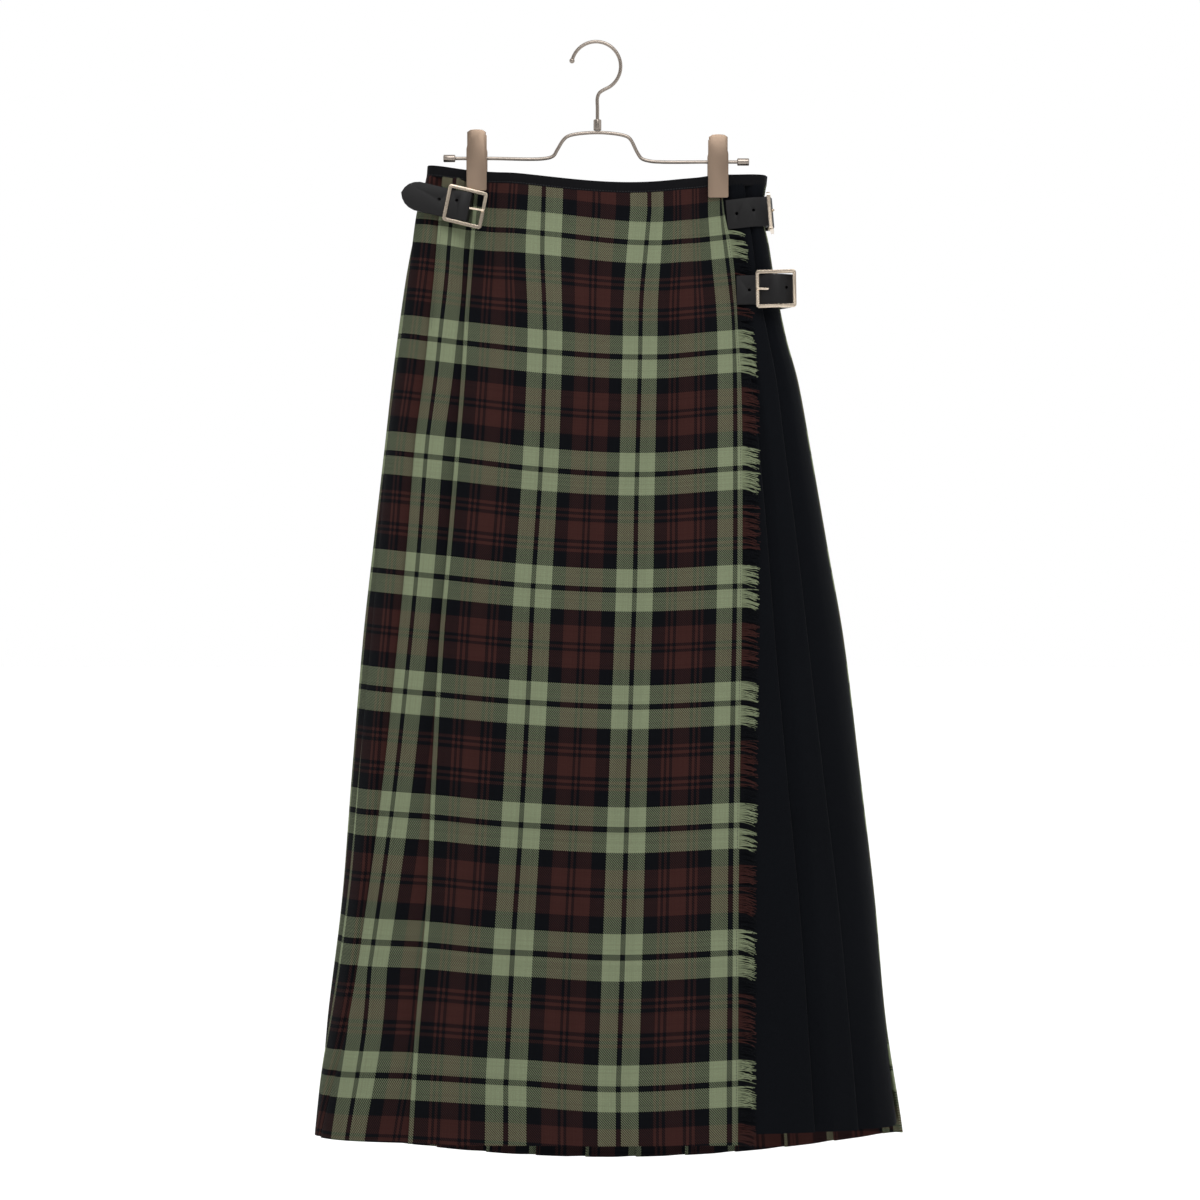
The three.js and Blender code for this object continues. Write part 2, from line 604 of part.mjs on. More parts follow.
add('hanger_hook', hook(), HANGER_METAL);
add('hanger_ferrule', rod(FERRULE.width / 2, new THREE.Vector3(SHANK_X, 0, FERRULE.bottom),
  new THREE.Vector3(SHANK_X, 0, FERRULE.top), 20), HANGER_METAL);
add('hanger_bar', tube(BAR_LINE, WIRE / 2, BAR_STEPS), HANGER_METAL);
[['left', BAR.left, BAR.leftZ, 1], ['right', BAR.right, BAR.rightZ, -1]].forEach((end) => {
  const [side, x, z, inward] = end;
  const along = (by) => new THREE.Vector3(x, 0, z).addScaledVector(X_AXIS, inward * by);
  const cap = rod(BAR.cap / 2, along(0), along(BAR.capLength), 20);
  const bore = rod(WIRE / 2 + SEAM, along(BAR.capLength / 2 - SEAM), along(BAR.capLength + 1));
  add(`hanger_cap_${side}`, cut(cap, bore), HANGER_METAL);
});

// Clips: two pressed jaws on the bar, a pad in each, and a spring round the bar between them

function jawOutline(clip) {
  const [half, top] = [CLIP.width / 2, CLIP.topWidth / 2];
  const shoulder = clip.top - CLIP.shoulder;
  const outline = new THREE.Shape();
  outline.moveTo(-half, clip.bottom + 1).lineTo(-half + 1, clip.bottom).lineTo(half - 1, clip.bottom);
  outline.lineTo(half, clip.bottom + 1).lineTo(half, shoulder).lineTo(top, shoulder + 3);
  outline.lineTo(top, clip.top - 2.5).lineTo(top - 3, clip.top - 0.5);
  outline.quadraticCurveTo(0, clip.top + 0.5, -top + 3, clip.top - 0.5);
  outline.lineTo(-top, clip.top - 2.5).lineTo(-top, shoulder + 3).lineTo(-half, shoulder);
  return outline;
}

// A block between two corners
function block(from, to) {
  const size = to.map((value, i) => value - from[i]);
  return new THREE.BoxGeometry(...size).translate(...from.map((value, i) => value + size[i] / 2));
}

const grip = STACK + CLOTH / 2 + 2 * SEAM;      // from the hanger's plane to the face of a pad

function jaw(clip, facing, inset) {
  const inner = grip + CLIP.pad;
  const form = { depth: CLIP.plate, bevelEnabled: false, curveSegments: 4 };
  const plate = new THREE.ExtrudeGeometry(jawOutline(clip), form);
  plate.rotateX(Math.PI / 2).translate(0, facing > 0 ? inner + CLIP.plate : -inner, 0);
  const reach = [facing * (inner + CLIP.plate / 2), -facing * (WIRE / 2 + CLIP.ear.past)]
    .sort((a, b) => a - b);
  const side = CLIP.topWidth / 2 - inset;
  const ears = [-side, side - CLIP.plate].map((x) => block(
    [x, reach[0], clip.bar - CLIP.ear.below], [x + CLIP.plate, reach[1], clip.bar + CLIP.ear.above]));
  const bore = rod(WIRE / 2 + SEAM, new THREE.Vector3(-CLIP.width, 0, clip.bar),
    new THREE.Vector3(CLIP.width, 0, clip.bar));
  return cut(join(plate, ...ears), bore).translate(clip.x, 0, 0);
}

const PAD_GAP = 0.05;           // the pad is glued to its jaw

function pad(clip, facing) {
  const faces = [facing * grip, facing * (grip + CLIP.pad - PAD_GAP)].sort((a, b) => a - b);
  const half = CLIP.width / 2 - CLIP.padInset;
  return block([clip.x - half, faces[0], clip.bottom + 1],
    [clip.x + half, faces[1], clip.bottom + CLIP.padHeight]);
}

CLIPS.forEach((clip) => {
  add(`clip_${clip.side}_front_jaw`, jaw(clip, -1, 0), CLIP_METAL);
  add(`clip_${clip.side}_back_jaw`, jaw(clip, 1, CLIP.plate + SEAM), CLIP_METAL);
  add(`clip_${clip.side}_front_pad`, pad(clip, -1), RUBBER);
  add(`clip_${clip.side}_back_pad`, pad(clip, 1), RUBBER);
  const half = CLIP.spring.length / 2;
  const onBar = (by) => [-by, by].map((x) => new THREE.Vector3(clip.x + x, 0, clip.bar));
  const sleeve = cut(rod(CLIP.spring.radius, ...onBar(half), 18),
    rod(WIRE / 2 + SEAM, ...onBar(half + 1)));
  add(`clip_${clip.side}_spring`, sleeve, HANGER_METAL);
});

// Straps and buckles. Each is built lying along X, with Y outwards, from the middle of the
// buckle's centre bar, and then carried to its place.

// The frame of axes of a buckle: where it stands, which way its strap runs and which way is out
function carried(at, along, out, { rise, lean }) {
  const up = new THREE.Vector3(0, 0, 1);
  const [c, s] = [Math.cos(radians(rise)), Math.sin(radians(rise))];
  const x = along.clone().multiplyScalar(c).addScaledVector(up, s);
  const level = along.clone().multiplyScalar(-s).addScaledVector(up, c);
  const y = out.clone().multiplyScalar(Math.cos(radians(lean)))
    .addScaledVector(level, Math.sin(radians(lean)));
  const group = new THREE.Group();
  group.matrix.makeBasis(x, y, x.clone().cross(y)).setPosition(at);
  group.matrix.decompose(group.position, group.quaternion, group.scale);
  skirt.add(group);
  return group;
}

// A flat strip whose middle line is given as points in X and Y, with its width along Z
function strip(points, wall, width) {
  const line = points.map(([x, y]) => new THREE.Vector2(x, y));
  const outer = offsetLine(line, wall / 2, 1);
  const inner = offsetLine(line, wall / 2, -1).reverse();
  const shape = new THREE.Shape([...outer, ...inner]);
  const geometry = new THREE.ExtrudeGeometry(shape, { depth: width, bevelEnabled: false });
  return geometry.translate(0, 0, -width / 2);
}

function roundedFrame(length, height, radius) {
  const [a, b] = [length / 2 - radius, height / 2 - radius];
  const quarter = Math.PI / 2;
  const outline = new THREE.Shape().moveTo(-a, -b - radius);
  outline.lineTo(a, -b - radius).absarc(a, -b, radius, -quarter, 0);
  outline.lineTo(a + radius, b).absarc(a, b, radius, 0, quarter);
  outline.lineTo(-a, b + radius).absarc(-a, b, radius, quarter, 2 * quarter);
  outline.lineTo(-a - radius, -b).absarc(-a, -b, radius, 2 * quarter, 3 * quarter);
  return outline;
}

function buckle() {
  const ring = roundedFrame(BUCKLE.length, BUCKLE.height, BUCKLE.corner);
  ring.holes.push(roundedFrame(BUCKLE.length - 2 * BUCKLE.bar, BUCKLE.height - 2 * BUCKLE.bar, 1));
  const form = { depth: BUCKLE.wall, bevelEnabled: false, curveSegments: 3 };
  const body = new THREE.ExtrudeGeometry(ring, form);
  body.rotateX(Math.PI / 2).translate(0, BUCKLE.wall / 2, 0);
  const reach = BUCKLE.height / 2 - BUCKLE.bar / 2;
  return join(body, rod(BUCKLE.pin, onPin(-reach), onPin(reach), 12));
}

// A place on the centre bar
const onPin = (z) => new THREE.Vector3(0, BUCKLE.pinY, z);

const eyeInner = BUCKLE.pin + SEAM;
const eyeOuter = eyeInner + PRONG.eye;

// The prong's shank, from its eye to its tip
function prongShank(radius, start) {
  const root = new THREE.Vector3(-start, PRONG.rootY, 0);
  return rod(radius, root, new THREE.Vector3(...PRONG.tip, 0), 10);
}

function prong() {
  const eye = rod(eyeOuter, onPin(-PRONG.width / 2), onPin(PRONG.width / 2));
  const bore = rod(eyeInner, onPin(-PRONG.width), onPin(PRONG.width));
  return cut(join(eye, prongShank(PRONG.radius, eyeInner + PRONG.eye / 2)), bore);
}

// Room that a prong needs where it comes through the leather
function prongRoom() {
  const half = PRONG.width / 2 + SEAM;
  const eye = rod(eyeOuter + SEAM, onPin(-half), onPin(half));
  return join(eye, prongShank(PRONG.radius + PRONG.room, eyeInner));
}

// The tab loops round the centre bar, with a slot for the prong, and its tail follows tail
const TAB_ROOT = [[0.9, -3.9], [5.5, -(BUCKLE.wall / 2 + STRAP.wall + 2 * SEAM + TAB.wall / 2)]];
const TAB_SLOT = { past: 3.2, inside: -9, outside: 4 };

function tab(tail) {
  const half = TAB.width / 2;
  const loopOuter = eyeInner + TAB.wall / 2;
  const tongue = strip([...TAB_ROOT, ...tail], TAB.wall, TAB.width);
  const body = join(rod(loopOuter, onPin(-half), onPin(half), 18), tongue);
  const slotHalf = PRONG.width / 2 + SEAM;
  const slot = block([-loopOuter - 1, TAB_SLOT.inside, -slotHalf],
    [TAB_SLOT.past, TAB_SLOT.outside, slotHalf]);
  return cut(body, rod(eyeInner, onPin(-half - 1), onPin(half + 1)), slot);
}

// Stretches of a strap by its buckle: over the centre bar, and under the frame on either side
const OVER_BAR = BUCKLE.pinY + eyeInner + TAB.wall / 2 + SEAM + STRAP.wall / 2;
const UNDER_FRAME = -(BUCKLE.wall / 2 + SEAM + STRAP.wall / 2);
const frameInner = BUCKLE.length / 2 - BUCKLE.bar - 1.2;
const offBar = [5, OVER_BAR - 0.8];
const overBar = [[-5, OVER_BAR - 0.8], [0, OVER_BAR], offBar];
const underExit = [[frameInner, UNDER_FRAME], [BUCKLE.length / 2 + 3, UNDER_FRAME]];
const underEntry = [[-BUCKLE.length / 2 - 1, UNDER_FRAME], [-frameInner, UNDER_FRAME]];

// The strap with its free end rounded to a blunt point
const FAR = 200;

function tipped(strap, end) {
  const half = STRAP.width / 2;
  const shoulder = end - STRAP.tip;
  const outline = new THREE.Shape().moveTo(-FAR, -half - 1).lineTo(shoulder, -half - 1);
  outline.lineTo(shoulder, -half).quadraticCurveTo(end - 3, -half + 2, end, 0);
  outline.quadraticCurveTo(end - 3, half - 2, shoulder, half);
  outline.lineTo(shoulder, half + 1).lineTo(-FAR, half + 1);
  const form = { depth: 2 * FAR, bevelEnabled: false, curveSegments: 4 };
  const mould = new THREE.ExtrudeGeometry(outline, form);
  return common(strap, mould.rotateX(Math.PI / 2).translate(0, FAR, 0));
}

function fasten(name, group, strap, tail) {
  add(`strap_${name}`, cut(strap, prongRoom()), LEATHER, group);
  add(`buckle_${name}`, buckle(), NICKEL, group);
  add(`prong_${name}`, prong(), NICKEL, group);
  add(`tab_${name}`, tab(tail), LEATHER, group);
}

const strapStrip = (line) => strip(line, STRAP.wall, STRAP.width);

// Places on the cloth, as X and Y of a buckle's group
function onCloth(group, z, distances, depth) {
  group.updateMatrixWorld(true);
  return distances.map((s) => {
    const plan = place(z, s, depth);
    const local = group.worldToLocal(new THREE.Vector3(plan.x, plan.y, z));
    return [local.x, local.y];
  });
}

const tabDepth = -(CLOTH / 2 + 4 * SEAM + TAB.wall / 2);
const overTab = tabDepth - TAB.wall / 2 - SEAM - STRAP.wall / 2;
const onBlack = LAYER - CLOTH / 2 - 3 * SEAM - STRAP.wall / 2;

// Places behind the right side edge
function behindSide(group, z, { places, off }, depth) {
  return onCloth(group, z, places.map((by) => rightSide(z) - by), depth - off);
}

// Axes of a buckle that lies along the straight line between two places on the cloth
function chord(z, from, to) {
  const [a, b] = [place(z, from, 0), place(z, to, 0)];
  const along = new THREE.Vector3(b.x - a.x, b.y - a.y, 0).normalize();
  const out = new THREE.Vector3(along.y, -along.x, 0);
  if (out.y > 0) out.negate();
  return { start: new THREE.Vector3(a.x, a.y, z), along, out };
}

function leftFastening() {
  const { x, z } = LEFT_BUCKLE;
  const s = frontDistance(z, x);
  const { start, along, out } = chord(z, firstFold(z), s + LEFT_CHORD);
  const middle = start.addScaledVector(along, (x - start.x) / along.x)
    .addScaledVector(out, CLOTH / 2 + STAND_OFF);
  const group = carried(middle, along, out, LEFT_BUCKLE);
  const line = [...LEFT_STRAP_START, [0, OVER_BAR], offBar, ...underExit, LEFT_STRAP_END];
  const tail = onCloth(group, z, LEFT_TAB.map((by) => s + by), tabDepth);
  fasten('left', group, tipped(strapStrip(line), LEFT_STRAP_TIP), tail);
}

function waistFastening() {
  const { x, y, z } = WAIST_BUCKLE;
  const along = new THREE.Vector3(0.1, 1, 0).normalize();
  const out = new THREE.Vector3(along.y, -along.x, 0);
  const group = carried(new THREE.Vector3(x, y, z), along, out, WAIST_BUCKLE);
  const edge = apronEdge(z) - 7 * SEAM;
  const sideEnd = rightSide(z) + WAIST_FRONT.past;
  const spots = WAIST_FRONT.parts.map((t) => THREE.MathUtils.lerp(edge, sideEnd, t));
  const front = onCloth(group, z, spots, onBlack - WAIST_FRONT.off);
  const back = behindSide(group, z, WAIST_STRAP, overTab);
  const tail = behindSide(group, z, WAIST_TAB, tabDepth);
  const line = [...front, underEntry[1], ...overBar, ...underExit, ...back];
  fasten('waist', group, strapStrip(line), tail);
}

function hipFastening() {
  const { x, z } = HIP_BUCKLE;
  const edge = apronEdge(z) - 3 * SEAM;
  const { start, along, out } = chord(z, edge, edge + HIP_CHORD);
  const reach = (x - start.x) / along.x;
  start.addScaledVector(along, reach).addScaledVector(out, HIP_STAND_OFF - onBlack - UNDER_FRAME);
  const group = carried(start, along, out, HIP_BUCKLE);
  const back = behindSide(group, z, HIP_STRAP, overTab);
  const tail = [...HIP_TAB_BEND, ...behindSide(group, z, HIP_TAB, tabDepth)];
  const line = [[-reach, UNDER_FRAME], ...underEntry, ...overBar, ...HIP_STRAP_BEND, ...back];
  fasten('hip', group, strapStrip(line), tail);
}

leftFastening();
waistFastening();
hipFastening();

export default skirt;
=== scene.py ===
"""Looks of a pleated wrap skirt on a clip hanger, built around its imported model.

Lengths are in millimetres until a mesh is made. The front faces -Y, and +X is to the right of
someone who looks at the front. A drop is a distance down from the waist line.
"""
import json
import math

import bmesh
import bpy
import numpy as np
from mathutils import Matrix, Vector
from mathutils.bvhtree import BVHTree

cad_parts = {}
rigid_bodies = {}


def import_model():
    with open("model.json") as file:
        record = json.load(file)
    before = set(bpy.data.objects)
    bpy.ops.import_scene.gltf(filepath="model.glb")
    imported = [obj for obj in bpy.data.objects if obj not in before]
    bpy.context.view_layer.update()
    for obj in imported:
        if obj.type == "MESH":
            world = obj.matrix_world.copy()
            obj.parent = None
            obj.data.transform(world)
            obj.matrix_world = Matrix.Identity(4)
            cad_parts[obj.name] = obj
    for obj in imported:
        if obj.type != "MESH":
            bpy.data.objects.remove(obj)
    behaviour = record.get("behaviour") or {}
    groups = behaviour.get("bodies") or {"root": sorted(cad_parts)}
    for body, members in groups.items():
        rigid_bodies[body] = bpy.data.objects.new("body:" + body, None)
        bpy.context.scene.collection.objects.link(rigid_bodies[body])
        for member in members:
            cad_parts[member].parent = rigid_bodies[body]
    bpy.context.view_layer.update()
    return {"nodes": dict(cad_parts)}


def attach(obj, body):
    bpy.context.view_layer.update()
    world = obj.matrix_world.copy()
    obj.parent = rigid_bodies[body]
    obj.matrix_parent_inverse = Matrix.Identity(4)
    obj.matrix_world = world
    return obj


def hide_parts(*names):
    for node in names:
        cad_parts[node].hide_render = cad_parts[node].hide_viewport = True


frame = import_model()
MM = 0.001

# Camera
SIGHT = {"x": 2.8, "z": -517.6, "distance": 2600, "width": 1116}
SENSOR = 36


def add_camera():
    data = bpy.data.cameras.new("camera")
    data.sensor_width = SENSOR
    data.lens = SENSOR * SIGHT["distance"] / SIGHT["width"]
    camera = bpy.data.objects.new("camera", data)
    camera.location = (SIGHT["x"] * MM, -SIGHT["distance"] * MM, SIGHT["z"] * MM)
    camera.rotation_euler = (math.pi / 2, 0, 0)
    bpy.context.scene.collection.objects.link(camera)
    bpy.context.scene.camera = camera


add_camera()

# Cloth, as the part's source has it
CLOTH = 1.2
LAYER = 1.8
STACK = 6.2
SEAM = 0.3
CLOTH_PER_PLEAT = 95
LEAST_UNDERLAY = 5
FOLD_ROOM = 1.2
PLEATS = 14
APRON_STEPS = 16
APRON_TURN = 15
UNDER_APRON_PAST = 10
BLACK_BACK_REACH = 25
TARTAN_SETBACK = 3
WAIST_Z = -125
BAND_HEIGHT = 10.5
BAND_WALL = 1.6
BAND_OVER_PLEATS = 4.8
APRON_HEM_Z = -1011
BLACK_HEM_Z = -1002
BACK_HEM_Z = -1013
BACK_HEM_DIP = 29
CLIP_X = (-111.6, 112.4)
FULLNESS = 0.8
CLIP_PINCH = {"width": 29, "reach": 110, "back": 1.8}

# Sections below the waist: the two side edges, the half depth of the hollow in front and behind,
# and where each fold that shows in front stands. third is a width, from the second fold on.
SECTION_COLUMNS = ("drop", "left", "right", "front", "back", "first", "second", "third",
                   "edge", "black_one", "black_two", "black_three")
SECTIONS = (
    (-12, -157.6, 158.6, 10, 9, -111.0, -142.0, 24, 113.8, 115.2, 134.0, 157.6),
    (0, -158.6, 159.3, 11, 10, -112.0, -142.8, 24, 114.8, 115.9, 134.5, 158.3),
    (34, -168.6, 155.2, 15, 12, -115.1, -145.4, 25, 118.3, 119.5, 139.0, 154.2),
    (60, -173.0, 160.5, 19, 14, -117.0, -147.5, 26, 123.7, 122.5, 143.0, 159.5),
    (91, -177.9, 165.4, 24, 16, -119.0, -149.8, 27, 127.5, 125.7, 147.1, 164.4),
    (147, -185.5, 176.5, 31, 19, -122.0, -155.1, 29, 129.8, 133.9, 157.7, 175.5),
    (188, -190.7, 187.7, 35, 21, -124.3, -159.2, 30, 132.3, 141.2, 165.5, 186.7),
    (249, -197.6, 198.9, 40, 23, -128.8, -167.0, 31, 133.1, 148.5, 172.8, 197.9),
    (345, -208.3, 215.6, 46, 25, -136.5, -174.4, 31, 132.9, 156.7, 184.7, 214.6),
    (430, -217.6, 230.5, 51, 26, -143.7, -182.3, 30, 131.8, 163.0, 193.9, 229.5),
    (560, -228.3, 246.3, 56, 27, -150.7, -196.1, 29, 130.1, 174.0, 208.6, 245.3),
    (671, -237.2, 259.3, 60, 28, -155.1, -210.9, 26, 128.6, 184.5, 221.5, 258.3),
    (783, -251.1, 269.5, 64, 29, -164.9, -228.8, 26, 128.1, 192.3, 231.7, 268.3),
    (889, -262.3, 285.5, 68, 30, -171.5, -254.5, 30, 127.5, 199.0, 240.2, 277.5),
    (930, -265.5, 288.5, 70, 30, -174.0, -257.5, 31, 127.3, 201.5, 243.0, 280.5),
)

# Soft folds and smaller creases: place at the waist, drift to the right for each mm down, the
# drops they lie between, height (outwards above 0) and half width
FRONT_FOLDS = (
    (68, -0.01, 10, 330, -4.5, 13),
    (36, -0.02, 40, 420, 3.5, 18),
    (-42, -0.02, 60, 520, -3.0, 22),
    (96, 0.0, 40, 600, 2.5, 16),
    (52, -0.04, 380, 930, 3.0, 30),
    (-70, -0.05, 460, 930, 3.0, 28),
    (-88, -0.03, 60, 330, 1.3, 9),
    (-14, 0.01, 20, 240, -1.1, 9),
    (10, -0.02, 150, 560, 1.5, 12),
    (84, 0.02, 90, 260, -1.2, 8),
    (100, 0.01, 300, 760, -1.6, 14),
    (-20, -0.04, 520, 900, -1.9, 16),
    (-100, -0.06, 340, 800, -1.5, 12),
    (20, -0.03, 640, 930, 1.7, 15),
    (180, 0.09, 300, 900, -1.6, 12),
    (150, 0.07, 420, 930, 1.4, 10),
    (-150, -0.09, 380, 900, 1.6, 12),
)
BACK_FOLDS = (
    (-60, -0.05, 10, 300, -2.0, 14),
    (15, 0.01, 30, 420, 2.0, 18),
    (60, 0.03, 150, 600, -2.0, 16),
    (-100, -0.08, 220, 800, 2.2, 20),
    (-20, -0.02, 330, 900, -2.2, 18),
    (95, 0.06, 360, 930, 2.0, 22),
    (40, 0.02, 560, 930, 1.6, 14),
    (-140, -0.1, 420, 930, -1.8, 16),
    (160, 0.1, 520, 930, -1.8, 16),
)


def smooth(xs, ys, x):
    """Heights at x of a smooth curve through points, level with its ends outside them."""
    xs, ys = np.asarray(xs, float), np.asarray(ys, float)
    last = len(xs) - 1
    before = np.maximum(np.arange(last + 1) - 1, 0)
    after = np.minimum(np.arange(last + 1) + 1, last)
    slopes = (ys[after] - ys[before]) / (xs[after] - xs[before])
    x = np.clip(x, xs[0], xs[-1])
    i = np.clip(np.searchsorted(xs, x, side="right") - 1, 0, last - 1)
    span = xs[i + 1] - xs[i]
    t = (x - xs[i]) / span
    t2, t3 = t * t, t * t * t
    return ((2 * t3 - 3 * t2 + 1) * ys[i] + (t3 - 2 * t2 + t) * span * slopes[i]
            + (3 * t2 - 2 * t3) * ys[i + 1] + (t3 - t2) * span * slopes[i + 1])


SECTION_TABLE = dict(zip(SECTION_COLUMNS, np.array(SECTIONS).T))


def column(key, drop):
    return smooth(SECTION_TABLE["drop"], SECTION_TABLE[key], drop)


def soft_folds(folds, x, drop):
    total = np.zeros_like(x)
    for place_x, drift, start, end, height, width in folds:
        along = np.clip((drop - start) / (end - start), 0, 1)
        across = (x - place_x - drift * drop) / width
        total += height * math.sin(math.pi * along) * np.exp(-across * across)
    return total


def clip_pinch(x, drop):
    fade = math.exp(-((max(drop, 0) / CLIP_PINCH["reach"]) ** 4))
    return fade * sum(np.exp(-(((x - clip) / CLIP_PINCH["width"]) ** 4)) for clip in CLIP_X)


# The body's outline at regular drops, in regular steps round it. It starts at the middle of the
# back and goes by the right side, the front and the left side. Distances round it are measured
# along the outermost layer from the middle of the front, and grow to the left.
ENVELOPE_STEPS = 720
DROP_STEP = 5
DROPS = np.arange(-30, 931, DROP_STEP)
ROUND_STEP = 2
ROUND = np.arange(-460, 1060, ROUND_STEP)


def outline(drop):
    left, right = column("left", drop), column("right", drop)
    half = (right - left) / 2 - STACK - CLOTH / 2
    angle = -np.pi + 2 * np.pi * np.arange(ENVELOPE_STEPS + 1) / ENVELOPE_STEPS
    facing = np.sign(np.cos(angle)) * np.abs(np.cos(angle)) ** FULLNESS
    x = (left + right) / 2 - half * np.sin(angle)
    pinch = clip_pinch(x, drop)
    depth = np.where(facing > 0, column("front", drop), column("back", drop))
    pulled = CLIP_PINCH["back"] * pinch * np.minimum(facing, 0)
    front = soft_folds(FRONT_FOLDS, x, drop) * np.sqrt(np.maximum(facing, 0))
    back = soft_folds(BACK_FOLDS, x, drop) * np.sqrt(np.maximum(-facing, 0))
    core = np.stack([x, -depth * facing * (1 - pinch) + pulled - front + back], axis=1)
    before = np.concatenate([core[-2:-1], core[:-1]])
    after = np.concatenate([core[1:], core[1:2]])
    normal = np.stack([before[:, 1] - after[:, 1], after[:, 0] - before[:, 0]], axis=1)
    normal /= np.linalg.norm(normal, axis=1, keepdims=True)
    outer = core + STACK * normal
    s = np.concatenate([[0], np.cumsum(np.linalg.norm(np.diff(outer, axis=0), axis=1))])
    return core, normal, outer, s - s[ENVELOPE_STEPS // 2]


def tabulate():
    """Form: core x, core y, normal x, normal y for each drop and step round. Lines: how far round
    each fold and the right side edge stand, and how long the outline is, for each drop."""
    form = np.zeros((len(DROPS), len(ROUND), 4))
    keys = ("edge", "first", "second", "black_one", "black_two", "black_three")
    lines = {key: np.zeros(len(DROPS)) for key in keys + ("right_side", "length")}
    front = slice(ENVELOPE_STEPS // 4, 3 * ENVELOPE_STEPS // 4 + 1)
    for i, drop in enumerate(DROPS):
        core, normal, outer, s = outline(drop)
        length = s[-1] - s[0]
        at = (ROUND - s[0]) % length + s[0]
        for j, values in enumerate((*core.T, *normal.T)):
            form[i, :, j] = np.interp(at, s, values)
        for key in keys:
            lines[key][i] = np.interp(-column(key, drop), -outer[front, 0], s[front])
        lines["right_side"][i] = s[ENVELOPE_STEPS // 4]
        lines["length"][i] = length
    return form, lines


FORM, LINES = tabulate()


def place(drop, s, depth):
    """Plan position at a drop and a distance round, depth below the middle of the outer layer."""
    row = np.clip((drop - DROPS[0]) / DROP_STEP, 0, len(DROPS) - 1.001)
    step = np.clip((s - ROUND[0]) / ROUND_STEP, 0, len(ROUND) - 1.001)
    i, j = row.astype(int), step.astype(int)
    a, b = (row - i)[..., None], (step - j)[..., None]
    mixed = ((1 - a) * ((1 - b) * FORM[i, j] + b * FORM[i, j + 1])
             + a * ((1 - b) * FORM[i + 1, j] + b * FORM[i + 1, j + 1]))
    normal = mixed[..., 2:] / np.linalg.norm(mixed[..., 2:], axis=-1, keepdims=True)
    return mixed[..., :2] + normal * (STACK - depth)[..., None]


# Lines round the body. Each is a function of the drop.

def line(key):
    return lambda drop: np.interp(drop, DROPS, LINES[key])


def shifted(at, by):
    return lambda drop: at(drop) + by


def between(a, b, t):
    return lambda drop: (1 - t) * a(drop) + t * b(drop)


apron_edge, first_fold, second_fold = line("edge"), line("first"), line("second")
right_side, round_length = line("right_side"), line("length")
BLACK_FOLDS = [line(key) for key in ("black_one", "black_two", "black_three")]


def tartan_fold(k):
    """Fold edge of tartan pleat k, where 0 is the apron's own left fold."""
    if k < 2:
        return (first_fold, second_fold)[k]

    def at(drop):
        third = second_fold(drop) + column("third", drop)
        end = right_side(drop) + round_length(drop) - TARTAN_SETBACK
        return third + (end - third) * (k - 2) / (PLEATS - 2)
    return at


def underlay(width):
    return np.maximum(LEAST_UNDERLAY, np.minimum(width / 2, (CLOTH_PER_PLEAT - width) / 2))


def tartan_inner(k):
    """Where pleat k turns back again, hidden under its face."""
    if k == 0:
        return shifted(first_fold, -APRON_TURN)
    fold, before = tartan_fold(k), tartan_fold(k - 1)
    return lambda drop: fold(drop) - underlay(fold(drop) - before(drop))


def black_inner(k):
    fold = BLACK_FOLDS[k]
    if k == 0:
        return shifted(fold, LEAST_UNDERLAY)
    before = BLACK_FOLDS[k - 1]
    return lambda drop: fold(drop) + underlay(before(drop) - fold(drop))


def band_top(x, behind):
    reach = CLIP_X[1]
    level = -121 - 1.4 * x / reach
    across = (x + reach) / (2 * reach)
    if across <= 0:
        return level - across * 2 * reach * 5 / 45
    if across >= 1:
        return level
    if behind:
        return level - 10 * math.sin(math.pi * across)
    return level - 10.2 * math.sin(math.pi * across ** 1.4)


def cloth_top(x, behind):
    return band_top(x, behind) - BAND_HEIGHT + 2


def tartan_hem(x, behind):
    drop = WAIST_Z - BACK_HEM_Z
    left, right = column("left", drop), column("right", drop)
    across = (x - (left + right) / 2) / ((right - left) / 2)
    dip = max(0, 1 - across * across)
    return BACK_HEM_Z - BACK_HEM_DIP * dip if behind else APRON_HEM_Z - 2 * (1 - dip)


def black_hem(x, behind):
    return BLACK_HEM_Z


# Threads of the tartan. Warp threads are counted from the middle of the green pair at the
# apron's right edge, weft threads from the highest green pair in front. The sett repeats every
# 300 threads, mirrored about thread 75 and thread 225.
HALF_SETT = (("brown", 12), ("black", 4), ("brown", 4), ("black", 4), ("brown", 4), ("black", 20),
             ("green", 24), ("black", 6), ("green", 24), ("black", 20), ("brown", 22),
             ("black", 4), ("brown", 2))
HALF_REPEAT = sum(count for _, count in HALF_SETT)
FIRST_PIVOT = 75
EDGE_THREAD = -11
FOLD_THREAD = 429
FOLD_SHIFTS = (-21, 20)         # even and odd folds, from the middle of their green pair
SIDE_THREAD = 529               # stands for the left side edge in the weft table

# Where the middles of the green warp pairs of the apron stand
PAIR_COLUMNS = ("drop", "three", "two", "one")
PAIRS = (
    (33, 115.4, 48.0, -48.4),
    (117, 124.6, 40.4, -48.5),
    (164, 126.2, 38.7, -48.5),
    (274, 126.3, 36.1, -52.0),
    (380, 125.6, 34.6, -58.3),
    (486, 123.5, 30.9, -62.7),
    (602, 121.5, 27.2, -68.9),
    (712, 120.5, 24.0, -76.1),
    (832, 119.5, 19.9, -82.2),
)
PAIR_TABLE = dict(zip(PAIR_COLUMNS, np.array(PAIRS).T))

